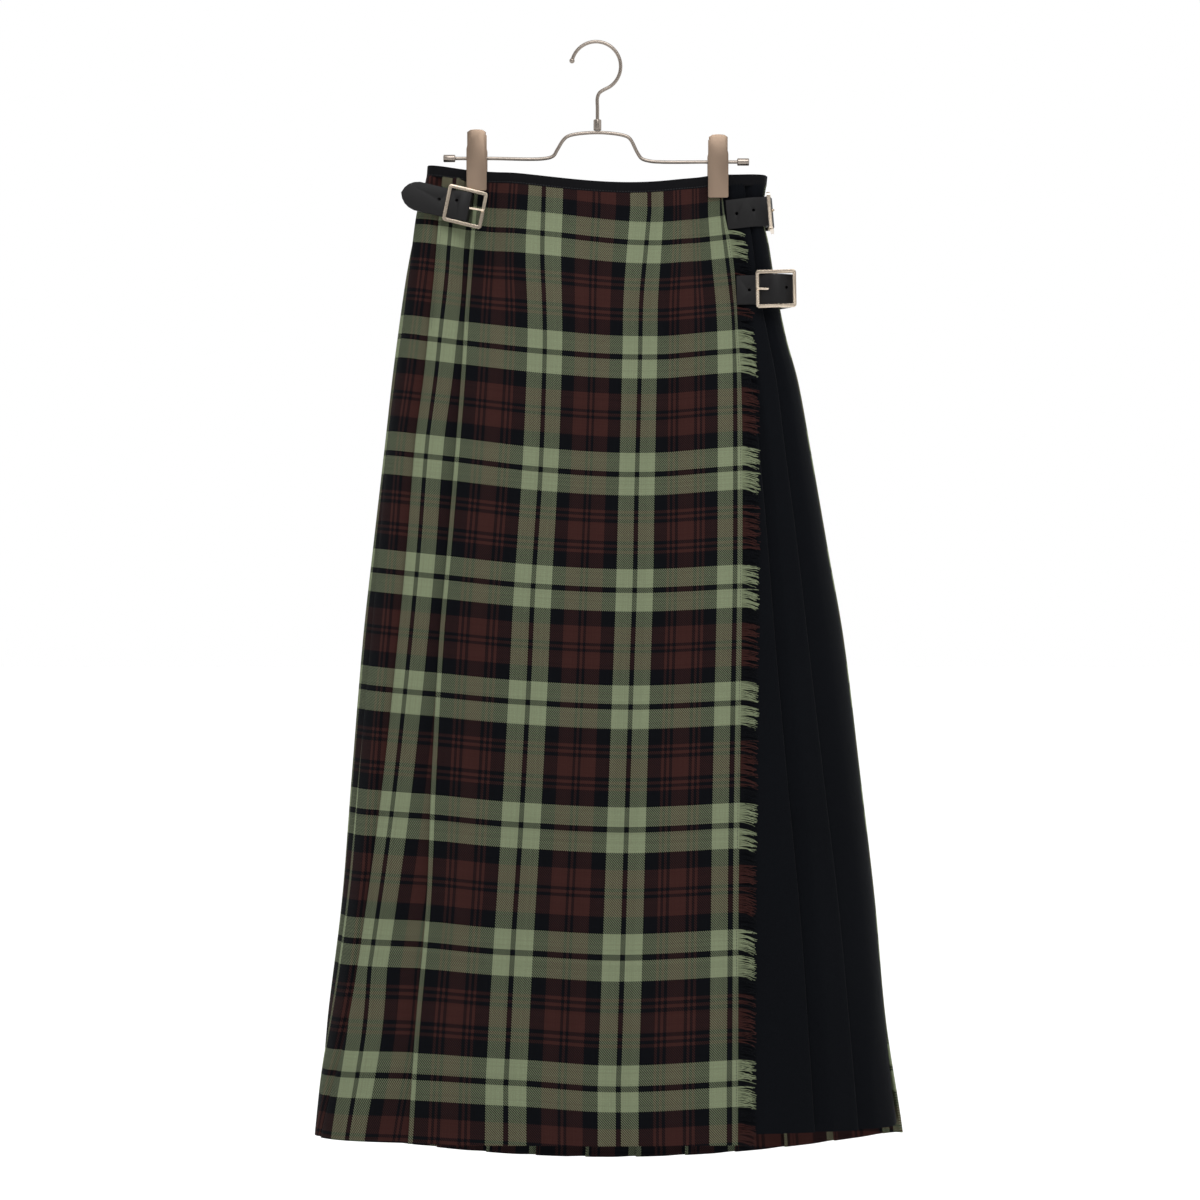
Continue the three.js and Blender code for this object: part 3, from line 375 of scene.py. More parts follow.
# Drops of the middles of the green weft pairs, each at the fringed edge, two green warp pairs,
# the apron's fold and the left side edge
WEFT_PLACES = (EDGE_THREAD, HALF_REPEAT, 2 * HALF_REPEAT, FOLD_THREAD, SIDE_THREAD)
WEFTS = (
    (-54, -44, -54, -62, -66),
    (56, 64, 55, 47.5, 41.5),
    (163, 170, 164.5, 156, 147),
    (272, 278.5, 273.5, 264, 256),
    (379.5, 383.5, 379.5, 371.5, 364),
    (486.5, 490, 486, 479, 472.5),
    (597, 600.5, 596.5, 590, 586),
    (713, 716.5, 712.5, 707, 706),
    (830.5, 834.5, 829, 826, 828),
    (945, 948, 944, 942, 943),
)


def apron_threads(drop, s):
    """Warp thread at a distance round the apron."""
    xs = [smooth(PAIR_TABLE["drop"], PAIR_TABLE[key], drop) for key in ("three", "two", "one")]
    edge, fold = apron_edge(drop), first_fold(drop)
    left = column("first", drop)
    right = column("edge", drop)
    marks = [edge] + [edge + (fold - edge) * (right - x) / (right - left) for x in xs] + [fold]
    counts = (EDGE_THREAD, 0, HALF_REPEAT, 2 * HALF_REPEAT, FOLD_THREAD)
    threads = np.full_like(s, float(EDGE_THREAD))
    for low, high, first, second in zip(marks, marks[1:], counts, counts[1:]):
        part = (s - low) / (high - low)
        threads = np.where(part > 0, first + (second - first) * part, threads)
    return threads


def weft_threads(drop, reach):
    """Weft thread at a drop. reach is a warp thread of the apron, or up to SIDE_THREAD."""
    table = np.array(WEFTS)
    marks = np.stack([smooth(WEFT_PLACES, row, reach) for row in table])
    threads = np.zeros_like(drop)
    for k in range(len(table) - 1):
        part = (drop - marks[k]) / (marks[k + 1] - marks[k])
        threads = np.where(part > 0, HALF_REPEAT * (k - 1 + part), threads)
    return threads


THREAD = {"waist": 0.54, "more": 0.1, "drop": 900}


def thread_width(drop):
    """The cloth is drawn closer at the waist than at the hem."""
    return THREAD["waist"] + THREAD["more"] * np.clip(drop / THREAD["drop"], 0, 1)


# How far the first pleats' folds stray from their thread, at drops on the way down
STRAY_DROPS = (500, 640, 730, 814, 889)
STRAYS = {1: (0, 0, 0, 14, 29), 2: (-6, 0, 0, 0, 0)}


def fold_thread(k, drop):
    stray = np.interp(drop, STRAY_DROPS, STRAYS[k]) if k in STRAYS else 0
    return (k + 3) * HALF_REPEAT + FOLD_SHIFTS[k % 2] + stray


# Meshes

def link(obj):
    bpy.context.scene.collection.objects.link(obj)
    return obj


def mesh_object(name, places, faces, material, uvs=None, sharp=60):
    """An object with this mesh, in metres, smooth but for edges over an angle in degrees."""
    mesh = bpy.data.meshes.new(name)
    mesh.from_pydata((np.asarray(places) * MM).tolist(), [], np.asarray(faces).tolist())
    if uvs is not None:
        layer = mesh.uv_layers.new(name="UVMap")
        corners = np.zeros(len(mesh.loops), dtype=np.int32)
        mesh.loops.foreach_get("vertex_index", corners)
        layer.data.foreach_set("uv", np.asarray(uvs)[corners].astype(np.float32).ravel())
    mesh.shade_smooth()
    mesh.set_sharp_from_angle(angle=math.radians(sharp))
    mesh.materials.append(material)
    mesh.validate()
    return link(bpy.data.objects.new(name, mesh))


def finish(obj, slot, *nodes):
    """A finished piece: it stands for these CAD nodes, which it hides, and joins the root body. slot is not
    used.
    """
    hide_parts(*nodes)
    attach(obj, "root")
    return obj


def offset(middle, half, side):
    """A line of points in the plane, moved to one side with mitred corners."""
    step = np.diff(middle, axis=1)
    step = step / np.linalg.norm(step, axis=2, keepdims=True)
    into = np.concatenate([step[:, :1], step], axis=1)
    out = np.concatenate([step, step[:, -1:]], axis=1)
    normal = np.stack([-into[..., 1] - out[..., 1], into[..., 0] + out[..., 0]], axis=2)
    return middle + side * 2 * half * normal / (normal ** 2).sum(axis=2, keepdims=True)


def shell_faces(rows, columns):
    """Quads of a closed shell with two sides of rows by columns points."""
    size = rows * columns
    grid = np.arange(size).reshape(rows, columns)
    a, b, c, d = grid[:-1, :-1], grid[1:, :-1], grid[1:, 1:], grid[:-1, 1:]
    first = np.stack([a, b, c, d], axis=-1).reshape(-1, 4)
    second = np.stack([a, d, c, b], axis=-1).reshape(-1, 4) + size
    rims = []
    for rim in (grid[0], grid[-1][::-1], grid[:, 0][::-1], grid[:, -1]):
        near, far = rim[:-1], rim[1:]
        rims.append(np.stack([near, far, far + size, near + size], axis=-1))
    return np.concatenate([first, second, *rims])


def outward(places, faces):
    a, b, c, d = (places[faces[:, k]] for k in range(4))
    volume = np.einsum("ij,ij->", a, np.cross(b, c)) + np.einsum("ij,ij->", a, np.cross(c, d))
    return faces if volume > 0 else faces[:, ::-1]


# Stations across a piece of cloth. A station has at(drop), its layer, and warp(drop, s), the
# thread of the cloth there.

def station(at, layer, warp):
    return {"at": at, "layer": layer, "warp": warp}


BEND_STEPS = 5


def bend(at, layer, warp, side):
    """A rounded fold at a line, from a layer to the next one in. The cloth is on the side that
    is not the fold's: 1 for a fold that points left, -1 for one that points right."""
    angles = math.pi * np.arange(BEND_STEPS + 1) / BEND_STEPS
    radius = LAYER / 2
    return [station(shifted(at, side * radius * (math.sin(a) - 1)),
                    layer + (1 - math.cos(a)) / 2, warp) for a in angles]


def stretch(start, end, layers, warp, count, ease=False):
    """Stations spread from one line to another, both left out."""
    found = []
    for i in range(1, count):
        t = i / count
        eased = t * t * (3 - 2 * t) if ease else t
        layer = layers[0] + (layers[1] - layers[0]) * eased
        found.append(station(between(start, end, t), layer, warp))
    return found


def even_rows(count):
    return np.linspace(0, 1, count)


def cloth(name, stations, ends, rows, material, weft, wall=CLOTH, low=WAIST_Z - BACK_HEM_Z):
    """A closed shell of cloth through stations, with its threads as UV."""
    top, hem = ends
    fractions = even_rows(rows)
    drops, middles, warps = [], [], []
    for item in stations:
        waist = place(np.zeros(1), item["at"](np.zeros(1)), np.zeros(1))[0]
        end = place(np.full(1, low), item["at"](np.full(1, low)), np.zeros(1))[0]
        start_z, end_z = top(waist[0], waist[1] > 0), hem(end[0], end[1] > 0)
        drop = WAIST_Z - (start_z + (end_z - start_z) * fractions)
        s = item["at"](drop)
        drops.append(drop)
        middles.append(np.stack([s, np.full(rows, item["layer"] * LAYER)], axis=1))
        warps.append(item["warp"](drop, s))
    drops, warps = np.stack(drops, axis=1), np.stack(warps, axis=1)
    middle = np.stack(middles, axis=1)
    sides = []
    for side in (-1, 1):
        moved = offset(middle, wall / 2, side)
        plan = place(drops, moved[..., 0], moved[..., 1])
        sides.append(np.dstack([plan, WAIST_Z - drops]).reshape(-1, 3))
    threads = np.stack([warps, weft(drops, warps, sides[0].reshape(*drops.shape, 3))], axis=2)
    places = np.concatenate(sides)
    faces = outward(places, shell_faces(rows, len(stations)))
    uvs = np.concatenate([threads.reshape(-1, 2)] * 2)
    return mesh_object(name, places, faces, material, uvs)


def apron_weft(drops, warps, places):
    return weft_threads(drops, np.clip(warps, EDGE_THREAD, FOLD_THREAD))


def pleat_weft(drops, warps, places):
    """Weft threads across the side pleats, level from the left side edge on round the back."""
    fold, left = column("first", drops), column("left", drops)
    part = np.clip((fold - places[..., 0]) / (fold - left), 0, 1)
    part = np.where(places[..., 1] > 0, 1, part)
    return weft_threads(drops, FOLD_THREAD + (SIDE_THREAD - FOLD_THREAD) * part)


BLACK_THREAD = 0.7


def black_weft(drops, warps, places):
    return drops / BLACK_THREAD


# Materials

def linear(*rgb):
    """Scene colour of an sRGB colour given in 0 to 255."""
    return tuple(c / 255 / 12.92 if c <= 10 else ((c / 255 + 0.055) / 1.055) ** 2.4 for c in rgb)


def add_node(tree, kind, inputs=(), **settings):
    """A node with its settings, and its inputs set or linked by name or number."""
    made = tree.nodes.new(kind)
    for key, value in settings.items():
        setattr(made, key, value)
    for key, value in dict(inputs).items():
        if isinstance(value, bpy.types.NodeSocket):
            tree.links.new(value, made.inputs[key])
        else:
            made.inputs[key].default_value = value
    return made


def compute(tree, operation, *values):
    made = add_node(tree, "ShaderNodeMath", enumerate(values), operation=operation)
    return made.outputs[0]


def blend_colours(tree, how, factor, first, second):
    made = add_node(tree, "ShaderNodeMix", {0: factor, 6: first, 7: second},
                    data_type="RGBA", blend_type=how)
    return made.outputs[2]


def new_material(name, settings):
    """A material and its shader, with the shader's own sockets set."""
    made = bpy.data.materials.new(name)
    made.use_nodes = True
    shader = made.node_tree.nodes["Principled BSDF"]
    for key, value in settings.items():
        shader.inputs[key].default_value = value
    return made, made.node_tree, shader


def noise(tree, vector, scale, detail=2.0, rough=0.5):
    made = add_node(tree, "ShaderNodeTexNoise",
                    {"Vector": vector, "Scale": scale, "Detail": detail, "Roughness": rough})
    return made.outputs["Fac"]


def shade(tree, colour, value, low, high):
    """A colour made darker or lighter by a value from 0 to 1."""
    ramp = add_node(tree, "ShaderNodeMapRange", {"Value": value, "To Min": low, "To Max": high})
    grey = add_node(tree, "ShaderNodeCombineXYZ",
                    {0: ramp.outputs[0], 1: ramp.outputs[0], 2: ramp.outputs[0]})
    return blend_colours(tree, "MULTIPLY", 1.0, colour, grey.outputs[0])


def add_bump(tree, shader, height, depth, strength=1.0):
    made = add_node(tree, "ShaderNodeBump",
                    {"Height": height, "Distance": depth * MM, "Strength": strength})
    tree.links.new(made.outputs[0], shader.inputs["Normal"])


WOOLS = {"green": linear(127, 136, 108), "brown": linear(58, 33, 30), "black": linear(9, 11, 15)}
WOOL_FINISH = {"Roughness": 0.9, "Specular IOR Level": 0.06, "Sheen Weight": 0.03,
               "Sheen Roughness": 0.4}
GAP_SHADE_SHARE = 0.3                # share of painted shade: how far the mix leans to the darker yarn, for shade in the gaps between threads


def sett_colour(tree, thread):
    """Colour of a thread of the sett."""
    mirrored = compute(tree, "PINGPONG", compute(tree, "SUBTRACT", thread, float(FIRST_PIVOT)),
                       float(HALF_REPEAT))
    part = compute(tree, "DIVIDE", mirrored, float(HALF_REPEAT))
    ramp = add_node(tree, "ShaderNodeValToRGB", {"Fac": part})
    ramp.color_ramp.interpolation = "CONSTANT"
    stops = ramp.color_ramp.elements
    counted = 0
    for i, (wool, count) in enumerate(HALF_SETT):
        stop = stops[0] if i == 0 else stops.new(counted / HALF_REPEAT)
        stop.color = (*WOOLS[wool], 1)
        counted += count
    stops.remove(stops[len(stops) - 1])
    return ramp.outputs[0]


def twill(tree, uv, yarns=1.0):
    """Warp and weft yarn numbers of a two over two twill, which of them is on top, and how far
    its top yarn rises. yarns is how many lie in one unit of uv."""
    closer = add_node(tree, "ShaderNodeVectorMath", {0: uv, "Scale": yarns}, operation="SCALE")
    parts = add_node(tree, "ShaderNodeSeparateXYZ", {0: closer.outputs[0]}).outputs
    warp, weft = (compute(tree, "FLOOR", part) for part in parts[:2])
    phase = compute(tree, "FLOORED_MODULO", compute(tree, "ADD", warp, weft), 4.0)
    warp_on_top = compute(tree, "LESS_THAN", phase, 2.0)
    across = []
    for part in parts[:2]:
        centred = compute(tree, "SUBTRACT", compute(tree, "FRACT", part), 0.5)
        across.append(compute(tree, "SUBTRACT", 1.0,
                              compute(tree, "MULTIPLY", compute(tree, "POWER", compute(
                                  tree, "ABSOLUTE", centred), 2.0), 4.0)))
    rise = add_node(tree, "ShaderNodeMix", {0: warp_on_top, 2: across[1], 3: across[0]})
    return warp, weft, warp_on_top, rise.outputs[0]


def thread_noise(tree, thread, seed):
    made = add_node(tree, "ShaderNodeTexWhiteNoise", {"W": compute(tree, "ADD", thread, seed)},
                    noise_dimensions="1D")
    return made.outputs["Value"]


THREAD_RISE = 0.25
YARNS = 1.3                     # yarns in each thread of the sett


def tartan_wool():
    made, tree, shader = new_material("tartan_wool", WOOL_FINISH)
    uv = add_node(tree, "ShaderNodeUVMap", uv_map="UVMap").outputs[0]
    spot = add_node(tree, "ShaderNodeTexCoord").outputs["Object"]
    warp, weft, warp_on_top, rise = twill(tree, uv, YARNS)
    halves = [sett_colour(tree, compute(tree, "DIVIDE", compute(tree, "ADD", yarn, 0.5), YARNS))
              for yarn in (warp, weft)]
    halves = [shade(tree, colour, thread_noise(tree, thread, seed), 0.86, 1.1)
              for colour, thread, seed in zip(halves, (warp, weft), (0.37, 500.37))]
    colour = blend_colours(tree, "MIX", warp_on_top, halves[1], halves[0])
    # Painted shade: the mix leans to the darker yarn, for shade in the gaps between threads
    darker = blend_colours(tree, "DARKEN", 1.0, halves[0], halves[1])
    colour = blend_colours(tree, "MIX", GAP_SHADE_SHARE, colour, darker)
    # Painted shade: each yarn darker towards its edges, where it dips beside the next
    colour = shade(tree, colour, rise, 0.72, 1.08)
    colour = shade(tree, colour, noise(tree, spot, 900, 1.0), 0.86, 1.14)
    colour = shade(tree, colour, noise(tree, spot, 7, 3.0), 0.93, 1.07)
    tree.links.new(colour, shader.inputs["Base Color"])
    add_bump(tree, shader, rise, THREAD_RISE, 0.6)
    return made


def plain_wool(name, colour):
    made, tree, shader = new_material(name, WOOL_FINISH)
    uv = add_node(tree, "ShaderNodeUVMap", uv_map="UVMap").outputs[0]
    spot = add_node(tree, "ShaderNodeTexCoord").outputs["Object"]
    rise = twill(tree, uv)[3]
    # Painted shade: each yarn darker towards its edges, where it dips beside the next
    base = shade(tree, (*colour, 1), rise, 0.7, 1.15)
    base = shade(tree, base, noise(tree, spot, 800, 1.0), 0.8, 1.2)
    base = shade(tree, base, noise(tree, spot, 9, 3.0), 0.85, 1.15)
    tree.links.new(base, shader.inputs["Base Color"])
    add_bump(tree, shader, rise, THREAD_RISE, 0.6)
    return made


RIB = 1.1


def binding_cloth():
    """Black binding tape, ribbed across."""
    made, tree, shader = new_material("binding", WOOL_FINISH)
    uv = add_node(tree, "ShaderNodeUVMap", uv_map="UVMap").outputs[0]
    spot = add_node(tree, "ShaderNodeTexCoord").outputs["Object"]
    along = add_node(tree, "ShaderNodeSeparateXYZ", {0: uv}).outputs[0]
    turns = compute(tree, "MULTIPLY", along, 2 * math.pi / RIB)
    rib = compute(tree, "MULTIPLY_ADD", compute(tree, "SINE", turns), 0.5, 0.5)
    # Painted shade: the tape darker in the grooves between its ribs
    base = shade(tree, (*linear(17, 17, 19), 1), rib, 0.75, 1.15)
    base = shade(tree, base, noise(tree, spot, 500, 2.0), 0.8, 1.25)
    tree.links.new(base, shader.inputs["Base Color"])
    add_bump(tree, shader, rib, 0.2, 0.5)
    return made


def fringe_wool():
    """Loose weft threads. Each has the colour of its place in the sett."""
    made, tree, shader = new_material("fringe_wool", WOOL_FINISH)
    weft = add_node(tree, "ShaderNodeAttribute", attribute_name="weft").outputs["Fac"]
    whole = compute(tree, "FLOOR", weft)
    spot = add_node(tree, "ShaderNodeTexCoord").outputs["Object"]
    colour = sett_colour(tree, compute(tree, "ADD", whole, 0.5))
    colour = shade(tree, colour, thread_noise(tree, whole, 77.37), 0.85, 1.2)
    colour = shade(tree, colour, noise(tree, spot, 1400, 1.0), 0.8, 1.15)
    tree.links.new(colour, shader.inputs["Base Color"])
    add_bump(tree, shader, noise(tree, spot, 2500, 1.0), 0.1, 0.5)
    return made


def sewing_thread(name, colour):
    made, tree, shader = new_material(name, {"Roughness": 0.7, "Specular IOR Level": 0.3})
    spot = add_node(tree, "ShaderNodeTexCoord").outputs["Object"]
    base = shade(tree, (*colour, 1), noise(tree, spot, 3000, 1.0), 0.7, 1.3)
    tree.links.new(base, shader.inputs["Base Color"])
    return made


def leather():
    made, tree, shader = new_material("black_leather", {"Specular IOR Level": 0.25})
    spot = add_node(tree, "ShaderNodeTexCoord").outputs["Object"]
    grain = add_node(tree, "ShaderNodeTexVoronoi", {"Vector": spot, "Scale": 1300.0},
                     feature="DISTANCE_TO_EDGE").outputs["Distance"]
    cells = add_node(tree, "ShaderNodeMapRange", {"Value": grain, "From Max": 0.25}).outputs[0]
    soft = noise(tree, spot, 60, 4.0, 0.6)
    base = shade(tree, (*linear(15, 14, 15), 1), soft, 0.75, 1.3)
    base = shade(tree, base, cells, 0.85, 1.05)
    tree.links.new(base, shader.inputs["Base Color"])
    rough = add_node(tree, "ShaderNodeMapRange", {"Value": soft, "To Min": 0.42, "To Max": 0.6})
    tree.links.new(rough.outputs[0], shader.inputs["Roughness"])
    height = compute(tree, "ADD", compute(tree, "MULTIPLY", cells, 0.5), soft)
    add_bump(tree, shader, height, 0.12, 0.45)
    return made


def metal(name, colour, rough, grain, spread=0.08):
    """Metal with fine brushing along the directions where grain is low."""
    made, tree, shader = new_material(name, {"Metallic": 1.0})
    spot = add_node(tree, "ShaderNodeTexCoord").outputs["Object"]
    brushed = add_node(tree, "ShaderNodeMapping", {"Vector": spot, "Scale": grain}).outputs[0]
    lines = noise(tree, brushed, 1.0, 3.0, 0.6)
    cloudy = noise(tree, spot, 45, 3.0)
    base = shade(tree, (*colour, 1), cloudy, 0.93, 1.07)
    tree.links.new(base, shader.inputs["Base Color"])
    mixed = compute(tree, "ADD", compute(tree, "MULTIPLY", lines, 0.5),
                    compute(tree, "MULTIPLY", cloudy, 0.5))
    rough_range = add_node(tree, "ShaderNodeMapRange",
                           {"Value": mixed, "To Min": rough - spread, "To Max": rough + spread})
    tree.links.new(rough_range.outputs[0], shader.inputs["Roughness"])
    add_bump(tree, shader, lines, 0.03, 0.25)
    return made


def rubber():
    made, tree, shader = new_material("pad_rubber", {"Roughness": 0.75, "Specular IOR Level": 0.3})
    spot = add_node(tree, "ShaderNodeTexCoord").outputs["Object"]
    base = shade(tree, (*linear(44, 42, 40), 1), noise(tree, spot, 300, 2.0), 0.8, 1.2)
    tree.links.new(base, shader.inputs["Base Color"])
    add_bump(tree, shader, noise(tree, spot, 1500, 2.0), 0.05, 0.4)
    return made


TARTAN = tartan_wool()
BLACK_WOOL = plain_wool("black_wool", linear(10, 12, 16))
BINDING = binding_cloth()
FRINGE = fringe_wool()
DARK_THREAD = sewing_thread("dark_thread", linear(30, 26, 26))
BLACK_THREAD_FINISH = sewing_thread("black_thread", linear(38, 38, 42))
LEATHER = leather()
NICKEL = metal("buckle_nickel", linear(220, 204, 184), 0.24, (300, 300, 300))
HANGER = metal("hanger_satin", linear(150, 140, 131), 0.32, (900, 900, 900))
CLIP_PLATE = metal("clip_satin", linear(150, 130, 113), 0.36, (1500, 1500, 120))
RUBBER = rubber()


# Pieces of cloth

def apron_column(i):
    return between(apron_edge, first_fold, i / APRON_STEPS)


APRON_COLUMNS = 120
CLOTH_ROWS = 200


def apron_stations():
    def turned(drop, s):
        return FOLD_THREAD + (first_fold(drop) - s) / thread_width(drop)
    fold = shifted(first_fold, -LAYER / 2)
    front = [station(apron_edge, 0, apron_threads)]
    front += stretch(apron_edge, fold, (0, 0), apron_threads, APRON_COLUMNS)
    back = [station(shifted(first_fold, -by), 1, turned) for by in (5, 10, APRON_TURN)]
    return front + bend(first_fold, 0, apron_threads, 1) + back


def tartan_stations(first, last):
    """Stations of pleats. A face comes out from under the fold before it, ends at its own fold,
    and turns back under itself."""
    found = []
    for k in range(first, last + 1):
        fold, before = tartan_fold(k), tartan_fold(k - 1)
        inner, hidden = tartan_inner(k), tartan_inner(k - 1)

        def face(drop, s, fold=fold, k=k):
            return fold_thread(k, drop) - (fold(drop) - s) / thread_width(drop)

        def returned(drop, s, fold=fold, k=k):
            return fold_thread(k, drop) + (fold(drop) - s) / thread_width(drop)
        if k == first:
            found.append(station(hidden, 2, face))
        found += stretch(shifted(hidden, LAYER / 2), before, (2, 2), face, 3)
        found.append(station(shifted(before, FOLD_ROOM), 2, face))
        full = shifted(inner, -FOLD_ROOM)
        found += stretch(shifted(before, FOLD_ROOM), full, (2, 0), face, 7, ease=True)
        found.append(station(full, 0, face))
        found += stretch(full, shifted(fold, -LAYER / 2), (0, 0), face, 4)
        found += bend(fold, 0, face, 1)
        found += stretch(shifted(fold, -LAYER / 2), shifted(inner, LAYER / 2), (1, 1), returned, 3)
        if k < last:
            found += bend(inner, 1, returned, -1)
        else:
            found.append(station(inner, 1, returned))
    return found


def plain_threads(drop, s):
    return s / BLACK_THREAD


def under_apron_stations():
    start = shifted(apron_column(1), SEAM / 2)
    last = apron_column(APRON_STEPS - 3)
    found = [station(start, 1, plain_threads)]
    found += stretch(start, last, (1, 1), plain_threads, 30)
    found += [station(last, 1, plain_threads), station(apron_column(APRON_STEPS - 2), 3, plain_threads)]
    return found + [station(shifted(first_fold, by), 3, plain_threads)
                    for by in (-APRON_TURN, -APRON_TURN / 2, FOLD_ROOM, UNDER_APRON_PAST)]


def black_stations():
    """The black pleats fold the other way, with their edges to the right."""
    start = shifted(apron_column(1), -SEAM / 2)
    radius = LAYER / 2
    found = [station(start, 1, plain_threads)]
    before = start
    for k, fold in enumerate(BLACK_FOLDS):
        inner = black_inner(k)
        if k == 0:
            found += stretch(start, shifted(fold, radius), (1, 1), plain_threads, 6)
        else:
            full = shifted(inner, FOLD_ROOM)
            found += stretch(before, full, (3, 1), plain_threads, 10, ease=True)
            found.append(station(full, 1, plain_threads))
            found += stretch(full, shifted(fold, radius), (1, 1), plain_threads, 4)
        found += bend(fold, 1, plain_threads, -1)
        found += stretch(shifted(fold, radius), shifted(inner, -radius), (2, 2), plain_threads, 3)
        found += bend(inner, 2, plain_threads, 1)
        found += stretch(shifted(inner, -radius), shifted(fold, -FOLD_ROOM), (3, 3), plain_threads, 3)
        before = shifted(fold, -FOLD_ROOM)
        found.append(station(before, 3, plain_threads))
    end = shifted(right_side, -BLACK_BACK_REACH)
    return found + stretch(before, end, (3, 3), plain_threads, 12) + [station(end, 3, plain_threads)]


TARTAN_ENDS = (cloth_top, tartan_hem)
BLACK_ENDS = (cloth_top, black_hem)


def add_cloth():
    apron = cloth("outer_apron_cloth", apron_stations(), TARTAN_ENDS, CLOTH_ROWS, TARTAN, apron_weft)
    finish(apron, "tartan_wool", "outer_apron")
    pieces = {"outer_apron": apron}
    for name, first, last in (("side_pleats", 1, 4), ("back_pleats_left", 5, 9),
                              ("back_pleats_right", 10, PLEATS)):
        made = cloth(name + "_cloth", tartan_stations(first, last), TARTAN_ENDS, CLOTH_ROWS // 2 + 40,
                     TARTAN, pleat_weft)
        pieces[name] = finish(made, "tartan_wool", name)
    under = cloth("under_apron_cloth", under_apron_stations(), BLACK_ENDS, 90, BLACK_WOOL, black_weft)
    pieces["under_apron"] = finish(under, "black_wool", "under_apron")
    side = cloth("black_side_cloth", black_stations(), BLACK_ENDS, 170, BLACK_WOOL, black_weft)
    pieces["black_side_pleats"] = finish(side, "black_wool", "black_side_pleats")
    return pieces


PIECES = add_cloth()

# Waist binding
BINDING_STEP = 2.5
BINDING_CORNER = 0.8
RIPPLE = {"swell": 0.06, "long": (0.1, 0.61), "short": (0.15, 1.7)}     # share, turn for each step


def binding_profile(wall):
    """Section of the binding: out from its middle, and down from its top."""
    half = wall / 2
    corner = min(half, BINDING_CORNER)
    points = []
    for centre_out, centre_down, start in ((half - corner, corner, 0), (corner - half, corner, 90),
                                           (corner - half, BAND_HEIGHT - corner, 180),
                                           (half - corner, BAND_HEIGHT - corner, 270)):
        for k in range(4):
            angle = math.radians(start + 30 * k)
            points.append((centre_out + corner * math.cos(angle), centre_down - corner * math.sin(angle)))
    return np.array(points)


def binding(name, start, end, layer, wall):
    span = float(abs(end(0) - start(0)))
    count = int(span / BINDING_STEP)
    profile = binding_profile(wall)
    profile_length = np.concatenate([[0], np.cumsum(np.linalg.norm(np.diff(profile, axis=0), axis=1))])
    places, uvs = [], []
    for i in range(count + 1):
        t = i / count
        s0 = float(between(start, end, t)(0.0))
        spot = place(np.zeros(1), np.array([s0]), np.zeros(1))[0]
        top = WAIST_Z - band_top(spot[0], spot[1] > 0)
        ease = sum(share * math.sin(i * turn) for share, turn in (RIPPLE["short"], RIPPLE["long"]))
        out, down = profile[:, 0], profile[:, 1]
        drop = top + down
        s = between(start, end, t)(drop)
        swell = 1 + RIPPLE["swell"] * ease * np.sin(np.pi * down / BAND_HEIGHT)
        plan = place(drop, s, layer * LAYER - out * swell)
        places.append(np.column_stack([plan, WAIST_Z - drop]))
        uvs.append(np.column_stack([np.full(len(profile), s0), profile_length]))
    ring = len(profile)
    faces = []
    for i in range(count):
        for j in range(ring):
            k = (j + 1) % ring
            faces.append((i * ring + j, i * ring + k, (i + 1) * ring + k, (i + 1) * ring + j))
    places, uvs = np.concatenate(places), np.concatenate(uvs)
    faces = outward(places, np.array(faces))
    made = mesh_object(name + "_tape", places, faces, BINDING, uvs, sharp=70)
    close_ends(made)
    finish(made, "waist_binding", name)
    return made


def close_ends(obj):
    work = bmesh.new()
    work.from_mesh(obj.data)
    bmesh.ops.holes_fill(work, edges=[e for e in work.edges if e.is_boundary], sides=0)
    bmesh.ops.recalc_face_normals(work, faces=work.faces)
    work.to_mesh(obj.data)
    work.free()


def add_bindings():
    tartan_end = tartan_fold(PLEATS)
    black_start = shifted(apron_column(1), -SEAM / 2)
    return {
        "outer_apron": binding("band_apron", apron_edge, first_fold, 0, BAND_WALL),
        "back_pleats_left": binding("band_pleats", shifted(first_fold, FOLD_ROOM), tartan_end, 1,
                                    BAND_OVER_PLEATS),
        "under_apron": binding("band_under", shifted(apron_column(1), SEAM / 2),
                               apron_column(APRON_STEPS - 3), 1, BAND_WALL),
        "black_side_pleats": binding("band_black_side", black_start, shifted(right_side, SEAM), 2,
                                     BAND_OVER_PLEATS),
    }


BANDS = add_bindings()

# Fringe: one strand for each weft thread that stands free
FRINGES = (("fringe_upper", 49.5, 91), ("fringe_lower", 122.5, 886))
STRAND = {"reach": 16.5, "radius": 0.25, "spacing": 0.55, "stray": 2.6, "droop": 2.5,
          "shortest": 0.78, "longest": 1.06, "points": 7, "sides": 4, "root": 0.5, "rise": 0.6}
CURL = {"scale": 260.0, "wisp": 1.3, "droop": 2.0}      # noise scale, and powers along a strand
WISP = {"least": 3.5, "most": 8, "draw": 0.65, "stray": 1.0}
STRAND_SEED = 4
WISP_SEED = 5


class Graph:
    """A Geometry Nodes tree in the making."""

    def __init__(self, name):
        self.tree = bpy.data.node_groups.new(name, "GeometryNodeTree")
        self.ids = {}
        self.source = None
        self.input = self.tree.nodes.new("NodeGroupInput")
        self.socket("Geometry", "NodeSocketGeometry")
        self.tree.interface.new_socket(name="Geometry", in_out="OUTPUT",
                                       socket_type="NodeSocketGeometry")

    def socket(self, name, kind):
        made = self.tree.interface.new_socket(name=name, in_out="INPUT", socket_type=kind)
        self.ids[name] = made.identifier

    def given(self, name):
        return self.input.outputs[name]

    def node(self, kind, inputs=(), **settings):
        return add_node(self.tree, kind, inputs, **settings)

    def number(self, operation, *values):
        return compute(self.tree, operation, *values)

    def end(self, geometry):
        real = self.node("GeometryNodeRealizeInstances", {"Geometry": geometry}).outputs[0]
        painted = self.node("GeometryNodeSetMaterial",
                            {"Geometry": real, "Material": self.given("Finish")}).outputs[0]
        self.node("NodeGroupOutput", {0: painted})


